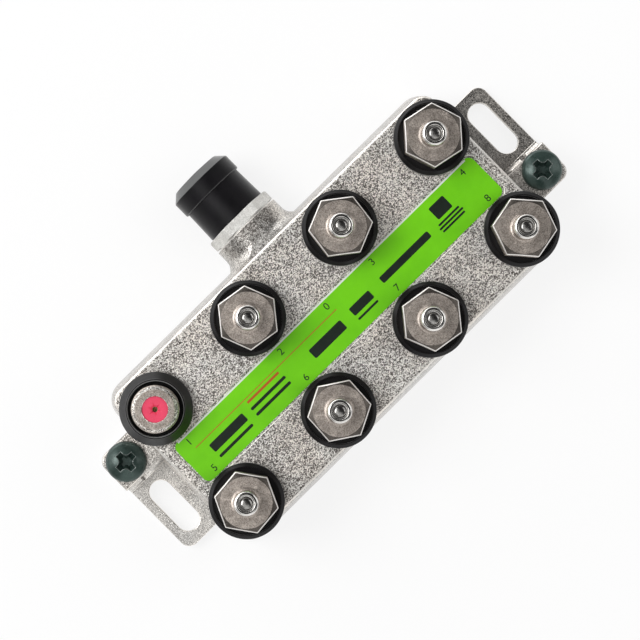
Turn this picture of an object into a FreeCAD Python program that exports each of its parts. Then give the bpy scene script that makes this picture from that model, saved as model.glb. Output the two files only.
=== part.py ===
import FreeCAD, Part
import math
import os

# Eight-way coaxial splitter with seven terminated outputs.
# Millimetres. X runs along the long side, +Y points to the input port, +Z out of the top face.
# The origin is the middle of the flat back, so z = 0 is the wall that the splitter is screwed to.

V = FreeCAD.Vector
UP = V(0, 0, 1)
TINY = 1e-6

# Port grid
PORT_PITCH = 25.4
COLUMNS = 4
ROWS = 2
ROW_OFFSET_Y = -0.7

# Die-cast housing
END_MARGIN = 5.7
SIDE_MARGIN = 7.15
BODY_HEIGHT = 16.5
DRAFT_DEG = 4.9
CORNER_R = 3.0
TOP_EDGE_R = 0.9
WALL = 2.0
CEILING = 2.2
POST_R = 1.8

# Back plate, pressed into a step in the rim
PLATE_THICK = 1.2
PLATE_RIM = 1.0
PLATE_GAP = 0.15

# Output ports, cast with the housing; the radius is the pitch radius of the 3/8-32 thread
BARREL_R = 4.5
BARREL_HEIGHT = 7.6
BARREL_CHAMFER = 0.65
SHOULDER_STEP = 0.2
SHOULDER_HEIGHT = 1.6

# Insulator and contact inside each port
INSULATOR_R = 2.6
INSULATOR_SINK = 0.25
INSULATOR_FACE = 1.0
PIN_HOLE_R = 0.55
PIN_FUNNEL = 0.35
CONTACT_R = 0.95
CONTACT_BORE_R = 0.48
CONTACT_JAW = 6.2
CONTACT_SLIT = 0.25
TAIL_R = 0.45
TAIL_STICKOUT = 0.6
SLIP = 0.05

# Label recess and label, between the two rows
LABEL_LENGTH = 82.3
LABEL_WIDTH = 10.2
LABEL_CORNER_R = 1.4
LABEL_THICK = 0.15
LABEL_BORDER = 0.4
LABEL_SINK = 0.35

# Mounting ears, one at each end; the left one is the right one turned half a turn and shifted
EAR_THICK = 2.2
EAR_CORNER_R = 2.2
EAR_ROOT_R = 1.0
EAR_HIGH_Y = 13.4
LEFT_EAR_SHIFT_Y = 0.5
SLOT_WIDTH = 4.8
SLOT_LENGTH = 12.5
SLOT_END_LAND = 2.35
SLOT_OUTER_LAND = 1.9
SLOT_INNER_LAND = 2.2
SLOT_BLOCK_LAND = 2.55

# Ground block on each ear, with a wire hole and its clamping screw
BLOCK_LENGTH = 8.4
BLOCK_EDGE_R = 0.5
BLOCK_ROOF = 3.4
BLOCK_STEP = 1.0
BLOCK_STEP_RISE = 0.6
WIRE_HOLE_R = 1.9
WIRE_FLOOR = 0.5
SCREW_R = 1.8
SCREW_LENGTH = 6.35
SCREW_HEAD_R = 4.1
SCREW_HEAD_HEIGHT = 2.4
SCREW_HEAD_SIDE = 1.3
SCREW_HEAD_EDGE_R = 1.2
SCREW_DOME_FLAT_R = 1.9
SCREW_DOME_R = 4.0
SCREW_CROSS = 4.6
SCREW_CROSS_WIDTH = 1.35
SCREW_CROSS_DEPTH = 1.9
SCREW_CROSS_BLEND_R = 1.0
SCREW_CROSS_FLOOR = 0.45
SCREW_POINT = 0.4
RIGHT_SCREW_RUN = 4.4
LEFT_SCREW_RUN = 4.1
THREAD_SLIP = 0.06

# Input port on the long side
BOSS_R = 7.75
BOSS_ABOVE_BACK = 0.25
BOSS_REACH = 5.75
BOSS_BLEND_R = 2.6
HEX_SEAT_GAP = 0.2
HEX_SEAT_LAND = 0.9
INPUT_HEX_FLATS = 13.35
INPUT_HEX_THICK = 2.3
INPUT_HEX_CHAMFER = 0.3
INPUT_BARREL = 9.0
STEM_R = 5.4

# Push-on cap over the input port
CAP_LENGTH = 12.2
CAP_CLEAR = 0.3
CAP_WALL = 1.8
CAP_FOOT_FLARE = 0.2
CAP_RIM_STEP = 0.5
CAP_RIM_START = 7.0
CAP_RIM_END = 10.35
CAP_TIP_BEVEL = 1.65
CAP_END = 2.6

# Rubber seal rings
SEAL_FREE_HEIGHT = 4.6
SEAL_FREE_WELL = 0.8
SEAL_FREE_LIP = 0.35
SEAL_FREE_FLARE = 1.5
SEAL_PRESSED_HEIGHT = 3.1
SEAL_PRESSED_GAP = 0.3
SEAL_PRESSED_LIP = 0.9
SEAL_PRESSED_BULGE = 0.3
SEAL_EDGE_R = 1.2
SEAL_ROLL_R = 0.5

# Terminators: hex shell, insulating bead, and the resistor with its pin and soldered dome
THREAD_CLEAR = 0.3
SHELL_WALL = 0.7
HEX_LIFT = 2.2
HEX_HEIGHT = 6.8
HEX_FACE_STEP = 0.4
HEX_CHAMFER_DEG = 30.0
TIP_CLEAR = 0.3
NECK_FOOT_R = 2.95
NECK_FOOT = 0.3
NECK_FOOT_BLEND = 0.5
NECK_R = 2.4
NECK_HEIGHT = 4.2
NECK_LIP_R = 0.45
NECK_BORE_R = 1.6
NECK_FLOOR = 0.6
CUP_R = 1.65
CUP_DEPTH = 1.1
DOME_R = 0.8
LEAD_R = 0.4
LEAD_REACH = 4.5
RESISTOR_R = 1.15
RESISTOR_LENGTH = 2.2
BEAD_FLANGE_R = 3.4
BEAD_FLANGE = 0.2
SEAT_GAP = 0.05
TERMINATOR_TURNS_DEG = (51.5, 23.0, 48.5, 5.5, 27.0, 51.5, 11.5)

# Circuit board and the parts soldered under it
BOARD_THICK = 1.2
BOARD_GAP = 0.5
CORE_WIDTH = 4.4
CORE_LENGTH = 3.6
CORE_HEIGHT = 2.6
CORE_EDGE_R = 1.1
CORE_HOLE_R = 0.6
CORE_HOLE_SPACING = 2.1
WIRE_SIZE = 0.34
WIRE_TURNS = 2
CHOKE_R = 2.3
CHOKE_WAIST_R = 1.9
CHOKE_HEIGHT = 3.8
CHOKE_FLANGE = 0.6
CHOKE_OFFSET_Y = 9.0
CHIP_LENGTH = 2.0
CHIP_WIDTH = 1.25
CHIP_HEIGHT = 0.8
CHIP_OFFSET_X = 3.0

# Sizes that follow
BODY_LENGTH = (COLUMNS - 1) * PORT_PITCH + 2 * END_MARGIN
BODY_WIDTH = (ROWS - 1) * PORT_PITCH + 2 * SIDE_MARGIN
DRAFT = math.tan(math.radians(DRAFT_DEG))
BASE_SPREAD = BODY_HEIGHT * DRAFT
BODY_BASE_X = BODY_LENGTH / 2 + BASE_SPREAD
TIP_Z = BODY_HEIGHT + BARREL_HEIGHT
CAVITY_TOP = BODY_HEIGHT - CEILING
EAR_TIP_X = BODY_BASE_X + SLOT_INNER_LAND + SLOT_WIDTH + SLOT_OUTER_LAND
SLOT_X = EAR_TIP_X - SLOT_OUTER_LAND - SLOT_WIDTH / 2
EAR_WIDTH = SLOT_END_LAND + SLOT_LENGTH + SLOT_BLOCK_LAND + BLOCK_LENGTH
EAR_LOW_Y = EAR_HIGH_Y - EAR_WIDTH
SLOT_Y = EAR_HIGH_Y - SLOT_END_LAND - SLOT_LENGTH / 2
BLOCK_FRONT_Y = EAR_LOW_Y + BLOCK_LENGTH
SCREW_X = EAR_TIP_X - SCREW_HEAD_R
WIRE_Z = EAR_THICK + WIRE_FLOOR + WIRE_HOLE_R
BLOCK_TOP = WIRE_Z + WIRE_HOLE_R + BLOCK_ROOF
INPUT_Z = BOSS_R + BOSS_ABOVE_BACK
BOSS_END_Y = BODY_WIDTH / 2 + BOSS_REACH
HEX_START_Y = BOSS_END_Y + HEX_SEAT_GAP
HEX_END_Y = HEX_START_Y + INPUT_HEX_THICK
INPUT_TIP_Y = HEX_END_Y + INPUT_BARREL
STEM_START_Y = BODY_WIDTH / 2 + (BODY_HEIGHT - INPUT_Z) * DRAFT - WALL
BOARD_TOP = INPUT_Z - TAIL_R
BOARD_BOTTOM = BOARD_TOP - BOARD_THICK
SHOULDER_R = BARREL_R + SHOULDER_STEP
SHELL_BORE_R = BARREL_R + THREAD_CLEAR
HEX_FLATS = 2 * (SHELL_BORE_R + SHELL_WALL)
HEX_FACE_R = HEX_FLATS / 2 - HEX_FACE_STEP
HEX_CORNER_R = HEX_FLATS / math.sqrt(3)
HEX_TOP_Z = BODY_HEIGHT + HEX_LIFT + HEX_HEIGHT
NECK_TOP_Z = HEX_TOP_Z + NECK_HEIGHT
CUP_FLOOR_Z = NECK_TOP_Z - CUP_DEPTH
RESISTOR_TOP_Z = CUP_FLOOR_Z - NECK_FLOOR - SLIP
RESISTOR_LOW_Z = RESISTOR_TOP_Z - RESISTOR_LENGTH
BEAD_TOP_Z = TIP_Z + SEAT_GAP + BEAD_FLANGE
SEAL_FREE_WELL_R = SHOULDER_R + SEAL_FREE_WELL
SEAL_FREE_TOP_R = SEAL_FREE_WELL_R + SEAL_FREE_LIP
SEAL_FREE_R = SEAL_FREE_TOP_R + SEAL_FREE_FLARE
SEAL_LIP_R = HEX_CORNER_R + SEAL_PRESSED_GAP
SEAL_PRESSED_R = SEAL_LIP_R + SEAL_PRESSED_LIP
CAP_BORE_R = BARREL_R + CAP_CLEAR
CAP_NECK_R = CAP_BORE_R + CAP_WALL
CAP_RIM_R = CAP_NECK_R + CAP_RIM_STEP


# Outlines and basic solids


def rounded_wire(corners, place):
    """Closed wire through corners (u, v, radius), each corner rounded by an arc of its radius."""
    count = len(corners)
    arcs = []
    for i in range(count):
        here = V(corners[i][0], corners[i][1], 0)
        before = V(corners[i - 1][0], corners[i - 1][1], 0) - here
        after = V(corners[(i + 1) % count][0], corners[(i + 1) % count][1], 0) - here
        radius = corners[i][2]
        if radius < TINY:
            arcs.append((here, here, here))
            continue
        before.normalize()
        after.normalize()
        half = before.getAngle(after) / 2
        inward = before + after
        inward.normalize()
        run = radius / math.tan(half)
        middle = here + inward * (radius / math.sin(half) - radius)
        arcs.append((here + before * run, middle, here + after * run))
    edges = []
    for i in range(count):
        start, middle, end = [place(p.x, p.y) for p in arcs[i]]
        follows = place(*arcs[(i + 1) % count][0][:2])
        if (end - start).Length > TINY:
            edges.append(Part.Arc(start, middle, end).toShape())
        if (follows - end).Length > TINY:
            edges.append(Part.LineSegment(end, follows).toShape())
    return Part.Wire(edges)


def turned(corners):
    """Solid turned about Z from an outline of (radius, height, corner radius)."""
    face = Part.Face(rounded_wire(corners, lambda r, z: V(r, 0, z)))
    return face.revolve(V(0, 0, 0), UP, 360)


def slab(corners, low, high):
    """Upright prism between two heights, on a plan outline of (x, y, corner radius)."""
    face = Part.Face(rounded_wire(corners, lambda x, y: V(x, y, low)))
    return face.extrude(V(0, 0, high - low))


def rectangle(length, width, radius, x=0.0, y=0.0):
    """Corners of a rounded rectangle about (x, y)."""
    a, b = length / 2, width / 2
    return [(x - a, y - b, radius), (x + a, y - b, radius), (x + a, y + b, radius), (x - a, y + b, radius)]


def rod(radius, low, high, x=0.0, y=0.0):
    """Upright cylinder between two heights."""
    return Part.makeCylinder(radius, high - low, V(x, y, low), UP)


def to_input(solid, y):
    """A solid made about Z from z = 0, laid along +Y on the input port's axis from y."""
    laid = solid.copy()
    laid.rotate(V(0, 0, 0), V(1, 0, 0), -90)
    laid.translate(V(0, y, INPUT_Z))
    return laid


def to_left(solid):
    """The same solid on the left ear: half a turn about Z, then the left ear's shift."""
    other = solid.copy()
    other.rotate(V(0, 0, 0), UP, 180)
    other.translate(V(0, LEFT_EAR_SHIFT_Y, 0))
    return other


def hexagon(flats, low, high):
    """Upright hexagonal prism with a corner towards +X."""
    corner = flats / math.sqrt(3)
    angles = [math.radians(60 * i) for i in range(6)]
    return slab([(corner * math.cos(a), corner * math.sin(a), 0) for a in angles], low, high)


def port_places():
    """Port centres, 1 to 8: the upper row from left to right, then the lower row."""
    first_x = -PORT_PITCH * (COLUMNS - 1) / 2
    first_y = ROW_OFFSET_Y + PORT_PITCH * (ROWS - 1) / 2
    return [
        V(first_x + PORT_PITCH * column, first_y - PORT_PITCH * row, 0)
        for row in range(ROWS)
        for column in range(COLUMNS)
    ]


# Housing


def drafted(inset, low, high):
    """Block with drafted walls, inset from the housing's outside, between two heights."""
    rings = []
    for z in (low, high):
        spread = (BODY_HEIGHT - z) * DRAFT - inset
        corner = max(CORNER_R + spread, SLIP)
        corners = rectangle(BODY_LENGTH + 2 * spread, BODY_WIDTH + 2 * spread, corner)
        rings.append(rounded_wire(corners, lambda x, y, z=z: V(x, y, z)))
    return Part.makeLoft(rings, True, True)


def outer_block():
    """The housing's outer block with its soft top edge."""
    block = drafted(0, 0, BODY_HEIGHT)
    top_edges = [e for e in block.Edges if min(v.Z for v in e.Vertexes) > BODY_HEIGHT - TINY]
    return block.makeFillet(TOP_EDGE_R, top_edges)


def input_boss():
    """Round boss for the input port, blended into the drafted long wall, cut level below the top face."""
    foot_y = BODY_WIDTH / 2 - WALL
    half = BOSS_R + 2 * BOSS_BLEND_R
    low_y = BODY_WIDTH / 2 + (BODY_HEIGHT + half) * DRAFT
    high_y = BODY_WIDTH / 2 - half * DRAFT
    top = BODY_HEIGHT + half
    back_y = foot_y - half
    corners = [(back_y, -half, 0), (low_y, -half, 0), (high_y, top, 0), (back_y, top, 0)]
    section = Part.Face(rounded_wire(corners, lambda y, z: V(-half, y, z)))
    wall = section.extrude(V(2 * half, 0, 0))
    barrel = to_input(rod(BOSS_R, 0, BOSS_END_Y - foot_y), foot_y)
    boss = wall.fuse(barrel).removeSplitter()
    boss = boss.makeFillet(BOSS_BLEND_R, boss_foot_edges(boss))
    level = BODY_HEIGHT - TOP_EDGE_R
    keep = Part.makeBox(2 * half, BOSS_END_Y, level, V(-half, foot_y, 0))
    return boss.common(keep)


def boss_foot_edges(solid):
    """The edge where the boss meets the wall: it goes round the boss and isn't its flat end."""
    return [
        e
        for e in solid.Edges
        if e.BoundBox.YMax < BOSS_END_Y - TINY
        and abs(e.BoundBox.XLength - 2 * BOSS_R) < SLIP
        and e.BoundBox.ZLength > BOSS_R
    ]


def ear():
    """Right-hand ear: plate with its rounded corners, and the ground block with its step."""
    inside_x = BODY_BASE_X - WALL
    plate = slab(
        [
            (inside_x, EAR_LOW_Y, 0),
            (EAR_TIP_X, EAR_LOW_Y, EAR_CORNER_R),
            (EAR_TIP_X, EAR_HIGH_Y, EAR_CORNER_R),
            (inside_x, EAR_HIGH_Y, 0),
        ],
        0,
        EAR_THICK,
    )
    block_corners = [
        (inside_x, EAR_LOW_Y, 0),
        (EAR_TIP_X, EAR_LOW_Y, EAR_CORNER_R),
        (EAR_TIP_X, BLOCK_FRONT_Y, 0),
        (inside_x, BLOCK_FRONT_Y, 0),
    ]
    block = slab(block_corners, 0, BLOCK_TOP)
    top_edges = [
        e
        for e in block.Edges
        if min(v.Z for v in e.Vertexes) > BLOCK_TOP - TINY and max(v.X for v in e.Vertexes) > inside_x + TINY
    ]
    block = block.makeFillet(BLOCK_EDGE_R, top_edges)
    step = Part.makeBox(
        EAR_TIP_X - inside_x,
        BLOCK_STEP,
        EAR_THICK + BLOCK_STEP_RISE,
        V(inside_x, BLOCK_FRONT_Y, 0),
    )
    return plate.fuse([block, step, ear_root(EAR_HIGH_Y, 1), ear_root(EAR_LOW_Y, -1)])


def ear_root(edge_y, side):
    """Small concave blend in the corner between an ear's edge and the housing's end wall."""
    x = BODY_BASE_X
    middle_x = x + (EAR_ROOT_R - WALL) / 2
    middle_y = edge_y + side * EAR_ROOT_R / 2
    square = slab(rectangle(EAR_ROOT_R + WALL, EAR_ROOT_R, 0, middle_x, middle_y), 0, EAR_THICK)
    return square.cut(rod(EAR_ROOT_R, 0, EAR_THICK, x + EAR_ROOT_R, edge_y + side * EAR_ROOT_R))


def ear_cuts(screw_run):
    """Slot, wire hole and screw hole of the right-hand ear, the screw so far in from its low end."""
    slot = slab(rectangle(SLOT_WIDTH, SLOT_LENGTH, SLOT_WIDTH / 2, SLOT_X, SLOT_Y), -1, EAR_THICK + 1)
    wire_start = V(SCREW_X, EAR_LOW_Y - 1, WIRE_Z)
    wire_hole = Part.makeCylinder(WIRE_HOLE_R, BLOCK_LENGTH + 2, wire_start, V(0, 1, 0))
    screw_hole = rod(SCREW_R + THREAD_SLIP, WIRE_Z, BLOCK_TOP + 1, SCREW_X, EAR_LOW_Y + screw_run)
    return slot.fuse([wire_hole, screw_hole])


def port_barrel(place):
    """One threaded output barrel with its shoulder, standing on the top face."""
    barrel = turned(
        [
            (0, CAVITY_TOP, 0),
            (SHOULDER_R, CAVITY_TOP, 0),
            (SHOULDER_R, BODY_HEIGHT + SHOULDER_HEIGHT, 0),
            (BARREL_R, BODY_HEIGHT + SHOULDER_HEIGHT, 0),
            (BARREL_R, TIP_Z - BARREL_CHAMFER, 0),
            (BARREL_R - BARREL_CHAMFER, TIP_Z, 0),
            (0, TIP_Z, 0),
        ]
    )
    barrel.translate(place)
    return barrel


def label_plan(border):
    """Plan of the label, or of its recess where there is a border round it."""
    corner = LABEL_CORNER_R + border
    return rectangle(LABEL_LENGTH + 2 * border, LABEL_WIDTH + 2 * border, corner, 0, ROW_OFFSET_Y)


def housing():
    """One casting: hollow box with eight barrels, the input boss, two ears and three board posts."""
    right_ear = ear()
    shell = outer_block().fuse([input_boss(), right_ear, to_left(right_ear)])
    shell = shell.fuse([port_barrel(place) for place in port_places()])
    posts = [rod(POST_R, BOARD_TOP, CAVITY_TOP, x, ROW_OFFSET_Y) for x in post_places()]
    cavity = drafted(WALL, PLATE_THICK, CAVITY_TOP).cut(Part.makeCompound(posts))
    cuts = [
        cavity,
        drafted(PLATE_RIM, -PLATE_THICK, PLATE_THICK),
        slab(label_plan(LABEL_BORDER), BODY_HEIGHT - LABEL_SINK, BODY_HEIGHT + 1),
        to_input(rod(STEM_R, 0, BOSS_END_Y), BODY_WIDTH / 2 - 2 * WALL),
        ear_cuts(RIGHT_SCREW_RUN),
        to_left(ear_cuts(LEFT_SCREW_RUN)),
    ]
    cuts += [rod(INSULATOR_R, CAVITY_TOP - 1, TIP_Z + 1, place.x, place.y) for place in port_places()]
    return shell.cut(cuts).removeSplitter()


def post_places():
    """Where the board's posts stand, midway between the port columns."""
    first_x = -PORT_PITCH * (COLUMNS - 2) / 2
    return [first_x + PORT_PITCH * i for i in range(COLUMNS - 1)]


def back_plate():
    """Steel plate pressed into the rim, flush with the back."""
    spread = BASE_SPREAD - PLATE_RIM - PLATE_GAP
    corners = rectangle(BODY_LENGTH + 2 * spread, BODY_WIDTH + 2 * spread, CORNER_R + spread)
    return slab(corners, 0, PLATE_THICK)


def label():
    """Printed label in its recess."""
    floor = BODY_HEIGHT - LABEL_SINK
    return slab(label_plan(0), floor, floor + LABEL_THICK)


# Port insides, made about Z from z = 0 at the mouth downwards


def insulator(depth):
    """Plastic plug of a port: a face with a funnelled pin hole, and a bore that holds the contact."""
    bore_r = CONTACT_R + SLIP
    return turned(
        [
            (bore_r, -depth, 0),
            (INSULATOR_R, -depth, 0),
            (INSULATOR_R, -INSULATOR_SINK, 0),
            (PIN_HOLE_R + PIN_FUNNEL, -INSULATOR_SINK, 0),
            (PIN_HOLE_R, -INSULATOR_SINK - PIN_FUNNEL, 0),
            (PIN_HOLE_R, -INSULATOR_SINK - INSULATOR_FACE, 0),
            (bore_r, -INSULATOR_SINK - INSULATOR_FACE, 0),
        ]
    )


def contact(depth):
    """Spring contact: a slit jaw that grips the centre pin, on a round tail."""
    top = -INSULATOR_SINK - INSULATOR_FACE
    foot = top - CONTACT_JAW
    body = turned(
        [
            (CONTACT_BORE_R, top, 0),
            (CONTACT_R, top, 0),
            (CONTACT_R, foot - CONTACT_R, 0),
            (TAIL_R, foot - 2 * CONTACT_R, 0),
            (TAIL_R, -depth, 0),
            (0, -depth, 0),
            (0, foot, 0),
            (CONTACT_BORE_R, foot, 0),
        ]
    )
    corner = V(-2 * CONTACT_R, -CONTACT_SLIT / 2, foot + CONTACT_R)
    slit = Part.makeBox(4 * CONTACT_R, CONTACT_SLIT, CONTACT_JAW, corner)
    return body.cut(slit)


def at_port(solid, place):
    """A piece made downwards from a port's mouth, put in that port."""
    put = solid.copy()
    put.translate(V(place.x, place.y, TIP_Z))
    return put


# Input connector and cap


def input_connector():
    """Hex-flanged barrel, its stem pressed into the boss; the hexagon is chamfered on its outer side."""
    stem = HEX_START_Y - STEM_START_Y
    tip = INPUT_TIP_Y - STEM_START_Y
    barrel = turned(
        [
            (INSULATOR_R, 0, 0),
            (STEM_R, 0, 0),
            (STEM_R, stem - HEX_SEAT_GAP, 0),
            (BOSS_R - HEX_SEAT_LAND, stem - HEX_SEAT_GAP, 0),
            (BOSS_R - HEX_SEAT_LAND, stem, 0),
            (BARREL_R, stem, 0),
            (BARREL_R, tip - BARREL_CHAMFER, 0),
            (BARREL_R - BARREL_CHAMFER, tip, 0),
            (INSULATOR_R, tip, 0),
        ]
    )
    flange = hexagon(INPUT_HEX_FLATS, stem, stem + INPUT_HEX_THICK)
    corner = INPUT_HEX_FLATS / math.sqrt(3)
    dressed = turned(
        [
            (INSULATOR_R, stem, 0),
            (corner, stem, 0),
            (corner, stem + INPUT_HEX_THICK - INPUT_HEX_CHAMFER, 0),
            (corner - INPUT_HEX_CHAMFER, stem + INPUT_HEX_THICK, 0),
            (INSULATOR_R, stem + INPUT_HEX_THICK, 0),
        ]
    )
    return to_input(barrel.fuse(flange.common(dressed)).removeSplitter(), STEM_START_Y)


def input_cap():
    """Push-on cap with a stepped rim and a chamfered, closed end."""
    bore = CAP_LENGTH - CAP_END
    cap = turned(
        [
            (CAP_BORE_R, 0, 0),
            (CAP_NECK_R + CAP_FOOT_FLARE, 0, 0),
            (CAP_NECK_R, CAP_RIM_START, 0),
            (CAP_RIM_R, CAP_RIM_START, 0),
            (CAP_RIM_R, CAP_RIM_END, 0),
            (CAP_RIM_R - CAP_TIP_BEVEL, CAP_LENGTH, 0),
            (0, CAP_LENGTH, 0),
            (0, bore, 0),
            (CAP_BORE_R, bore, 0),
        ]
    )
    return to_input(cap, HEX_END_Y)


def input_insulator():
    """Insulator of the input port, as deep as its connector."""
    return to_input(insulator(INPUT_TIP_Y - STEM_START_Y), INPUT_TIP_Y)


def input_contact():
    """Contact of the input port, its tail lying on the board."""
    reach = INPUT_TIP_Y - (BODY_WIDTH / 2 - 2 * WALL - 2 * TAIL_R)
    return to_input(contact(reach), INPUT_TIP_Y)


# Seal rings


def seal_free():
    """Seal ring as it stands on an open port: a cone-sided cup with a well round the barrel."""
    return turned(
        [
            (SHOULDER_R, 0, 0),
            (SEAL_FREE_R, 0, 0),
            (SEAL_FREE_R, SHOULDER_HEIGHT, SEAL_EDGE_R),
            (SEAL_FREE_TOP_R, SEAL_FREE_HEIGHT, 0),
            (SEAL_FREE_WELL_R, SEAL_FREE_HEIGHT, 0),
            (SEAL_FREE_WELL_R, SHOULDER_HEIGHT, 0),
            (SHOULDER_R, SHOULDER_HEIGHT, 0),
        ]
    )


def seal_pressed():
    """Seal ring squeezed under a terminator: a bulging rim round the hexagon's foot."""
    floor = HEX_LIFT - SEAT_GAP
    return turned(
        [
            (SHOULDER_R, 0, 0),
            (SEAL_PRESSED_R - SEAL_PRESSED_BULGE, 0, 0),
            (SEAL_PRESSED_R, SEAL_PRESSED_HEIGHT / 2, SEAL_EDGE_R),
            (SEAL_PRESSED_R - SEAL_PRESSED_BULGE, SEAL_PRESSED_HEIGHT, SEAL_ROLL_R),
            (SEAL_LIP_R, SEAL_PRESSED_HEIGHT, 0),
            (SEAL_LIP_R, floor, 0),
            (SHOULDER_R, floor, 0),
        ]
    )


# Terminators


def terminator_shell():
    """Hex shell with a chamfered face, a threaded bore below and a polished neck with a cup on top."""
    low = HEX_LIFT + BODY_HEIGHT
    top = HEX_TOP_Z
    fall = math.tan(math.radians(HEX_CHAMFER_DEG))
    drop = (HEX_CORNER_R - HEX_FACE_R) * fall
    dressed = turned(
        [
            (0, low, 0),
            (HEX_FACE_R, low, 0),
            (HEX_CORNER_R, low + drop, 0),
            (HEX_CORNER_R, top - drop, 0),
            (HEX_FACE_R, top, 0),
            (0, top, 0),
        ]
    )
    neck = turned(
        [
            (0, top - 1, 0),
            (NECK_FOOT_R, top - 1, 0),
            (NECK_FOOT_R, top + NECK_FOOT, 0),
            (NECK_R, top + NECK_FOOT, NECK_FOOT_BLEND),
            (NECK_R, NECK_TOP_Z, NECK_LIP_R),
            (0, NECK_TOP_Z, 0),
        ]
    )
    thread_bore = rod(SHELL_BORE_R, low - 1, TIP_Z + TIP_CLEAR)
    neck_bore = rod(NECK_BORE_R, TIP_Z, CUP_FLOOR_Z - NECK_FLOOR)
    lead_hole = rod(LEAD_R + SLIP, TIP_Z, NECK_TOP_Z)
    cup = rod(CUP_R, CUP_FLOOR_Z, NECK_TOP_Z + 1)
    body = hexagon(HEX_FLATS, low, top).common(dressed).fuse(neck)
    return body.cut([thread_bore, neck_bore, lead_hole, cup]).removeSplitter()


def terminator_bead():
    """Insulating bead: a thin flange over the port's mouth, and a plug in the neck round the pin."""
    bottom = TIP_Z + SEAT_GAP
    return turned(
        [
            (LEAD_R, bottom, 0),
            (BEAD_FLANGE_R, bottom, 0),
            (BEAD_FLANGE_R, BEAD_TOP_Z, 0),
            (NECK_BORE_R - SLIP, BEAD_TOP_Z, 0),
            (NECK_BORE_R - SLIP, RESISTOR_LOW_Z, 0),
            (LEAD_R, RESISTOR_LOW_Z, 0),
        ]
    )


def terminator_resistor():
    """Load resistor with its pin below and its lead soldered into a dome in the neck's cup."""
    return turned(
        [
            (0, TIP_Z - LEAD_REACH, 0),
            (LEAD_R, TIP_Z - LEAD_REACH, 0),
            (LEAD_R, RESISTOR_LOW_Z, 0),
            (RESISTOR_R, RESISTOR_LOW_Z, 0),
            (RESISTOR_R, RESISTOR_TOP_Z, 0),
            (LEAD_R, RESISTOR_TOP_Z, 0),
            (LEAD_R, CUP_FLOOR_Z, 0),
            (DOME_R, CUP_FLOOR_Z, 0),
            (DOME_R, CUP_FLOOR_Z + DOME_R, DOME_R - SLIP),
            (0, CUP_FLOOR_Z + DOME_R, 0),
        ]
    )


# Board and the parts under it


def circuit_board():
    """Board against the posts, with a hole for each output contact's tail."""
    spread = (BODY_HEIGHT - BOARD_TOP) * DRAFT - WALL - BOARD_GAP
    corners = rectangle(BODY_LENGTH + 2 * spread, BODY_WIDTH + 2 * spread, CORNER_R)
    board = slab(corners, BOARD_BOTTOM, BOARD_TOP)
    return board.cut([rod(TAIL_R + SLIP, 0, BODY_HEIGHT, place.x, place.y) for place in port_places()])


def core_places():
    """Where the ferrite cores sit, in one line half a pitch apart."""
    count = 2 * COLUMNS - 1
    return [V((i - (count - 1) / 2) * PORT_PITCH / 2, ROW_OFFSET_Y, 0) for i in range(count)]


def core_holes(place):
    """The middles of a core's two holes."""
    return [place.x - CORE_HOLE_SPACING / 2, place.x + CORE_HOLE_SPACING / 2]


def ferrite_cores():
    """Two-hole ferrite cores lying under the board, as a group of separate solids."""
    cores = []
    low = BOARD_BOTTOM - CORE_HEIGHT
    for place in core_places():
        corners = rectangle(CORE_WIDTH, CORE_HEIGHT, CORE_EDGE_R, place.x, low + CORE_HEIGHT / 2)
        face = Part.Face(rounded_wire(corners, lambda x, z, y=place.y: V(x, y - CORE_LENGTH / 2, z)))
        core = face.extrude(V(0, CORE_LENGTH, 0))
        for x in core_holes(place):
            start = V(x, place.y - CORE_LENGTH, low + CORE_HEIGHT / 2)
            core = core.cut(Part.makeCylinder(CORE_HOLE_R, 2 * CORE_LENGTH, start, V(0, 1, 0)))
        cores.append(core)
    return Part.makeCompound(cores)


def core_windings():
    """Flat loops of wire through each core's two holes, as a group of separate solids."""
    loops = []
    middle = BOARD_BOTTOM - CORE_HEIGHT / 2
    length = CORE_LENGTH + 2 * CORE_HOLE_R
    for place in core_places():
        for i in range(WIRE_TURNS):
            low = middle + (i - WIRE_TURNS / 2) * (WIRE_SIZE + SLIP) + SLIP / 2
            high = low + WIRE_SIZE
            inner_w = CORE_HOLE_SPACING - WIRE_SIZE
            outer_w = CORE_HOLE_SPACING + WIRE_SIZE
            outer = rectangle(outer_w, length + 2 * WIRE_SIZE, outer_w / 3, place.x, place.y)
            inner = rectangle(inner_w, length, 0, place.x, place.y)
            loops.append(slab(outer, low, high).cut(slab(inner, low, high)))
    return Part.makeCompound(loops)


def power_choke():
    """Wound drum choke that passes the power, hanging under the board."""
    low = BOARD_BOTTOM - CHOKE_HEIGHT
    drum = turned(
        [
            (0, low, 0),
            (CHOKE_R, low, 0),
            (CHOKE_R, low + CHOKE_FLANGE, 0),
            (CHOKE_WAIST_R, low + CHOKE_FLANGE, 0),
            (CHOKE_WAIST_R, BOARD_BOTTOM - CHOKE_FLANGE, 0),
            (CHOKE_R, BOARD_BOTTOM - CHOKE_FLANGE, 0),
            (CHOKE_R, BOARD_BOTTOM, 0),
            (0, BOARD_BOTTOM, 0),
        ]
    )
    drum.translate(V(-PORT_PITCH, CHOKE_OFFSET_Y, 0))
    return drum


def chip_capacitors():
    """One chip capacitor beside each output contact, as a group of separate solids."""
    low = BOARD_BOTTOM - CHIP_HEIGHT
    plans = [rectangle(CHIP_LENGTH, CHIP_WIDTH, 0, place.x + CHIP_OFFSET_X, place.y) for place in port_places()]
    return Part.makeCompound([slab(plan, low, BOARD_BOTTOM) for plan in plans])


# Ground screws


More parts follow.
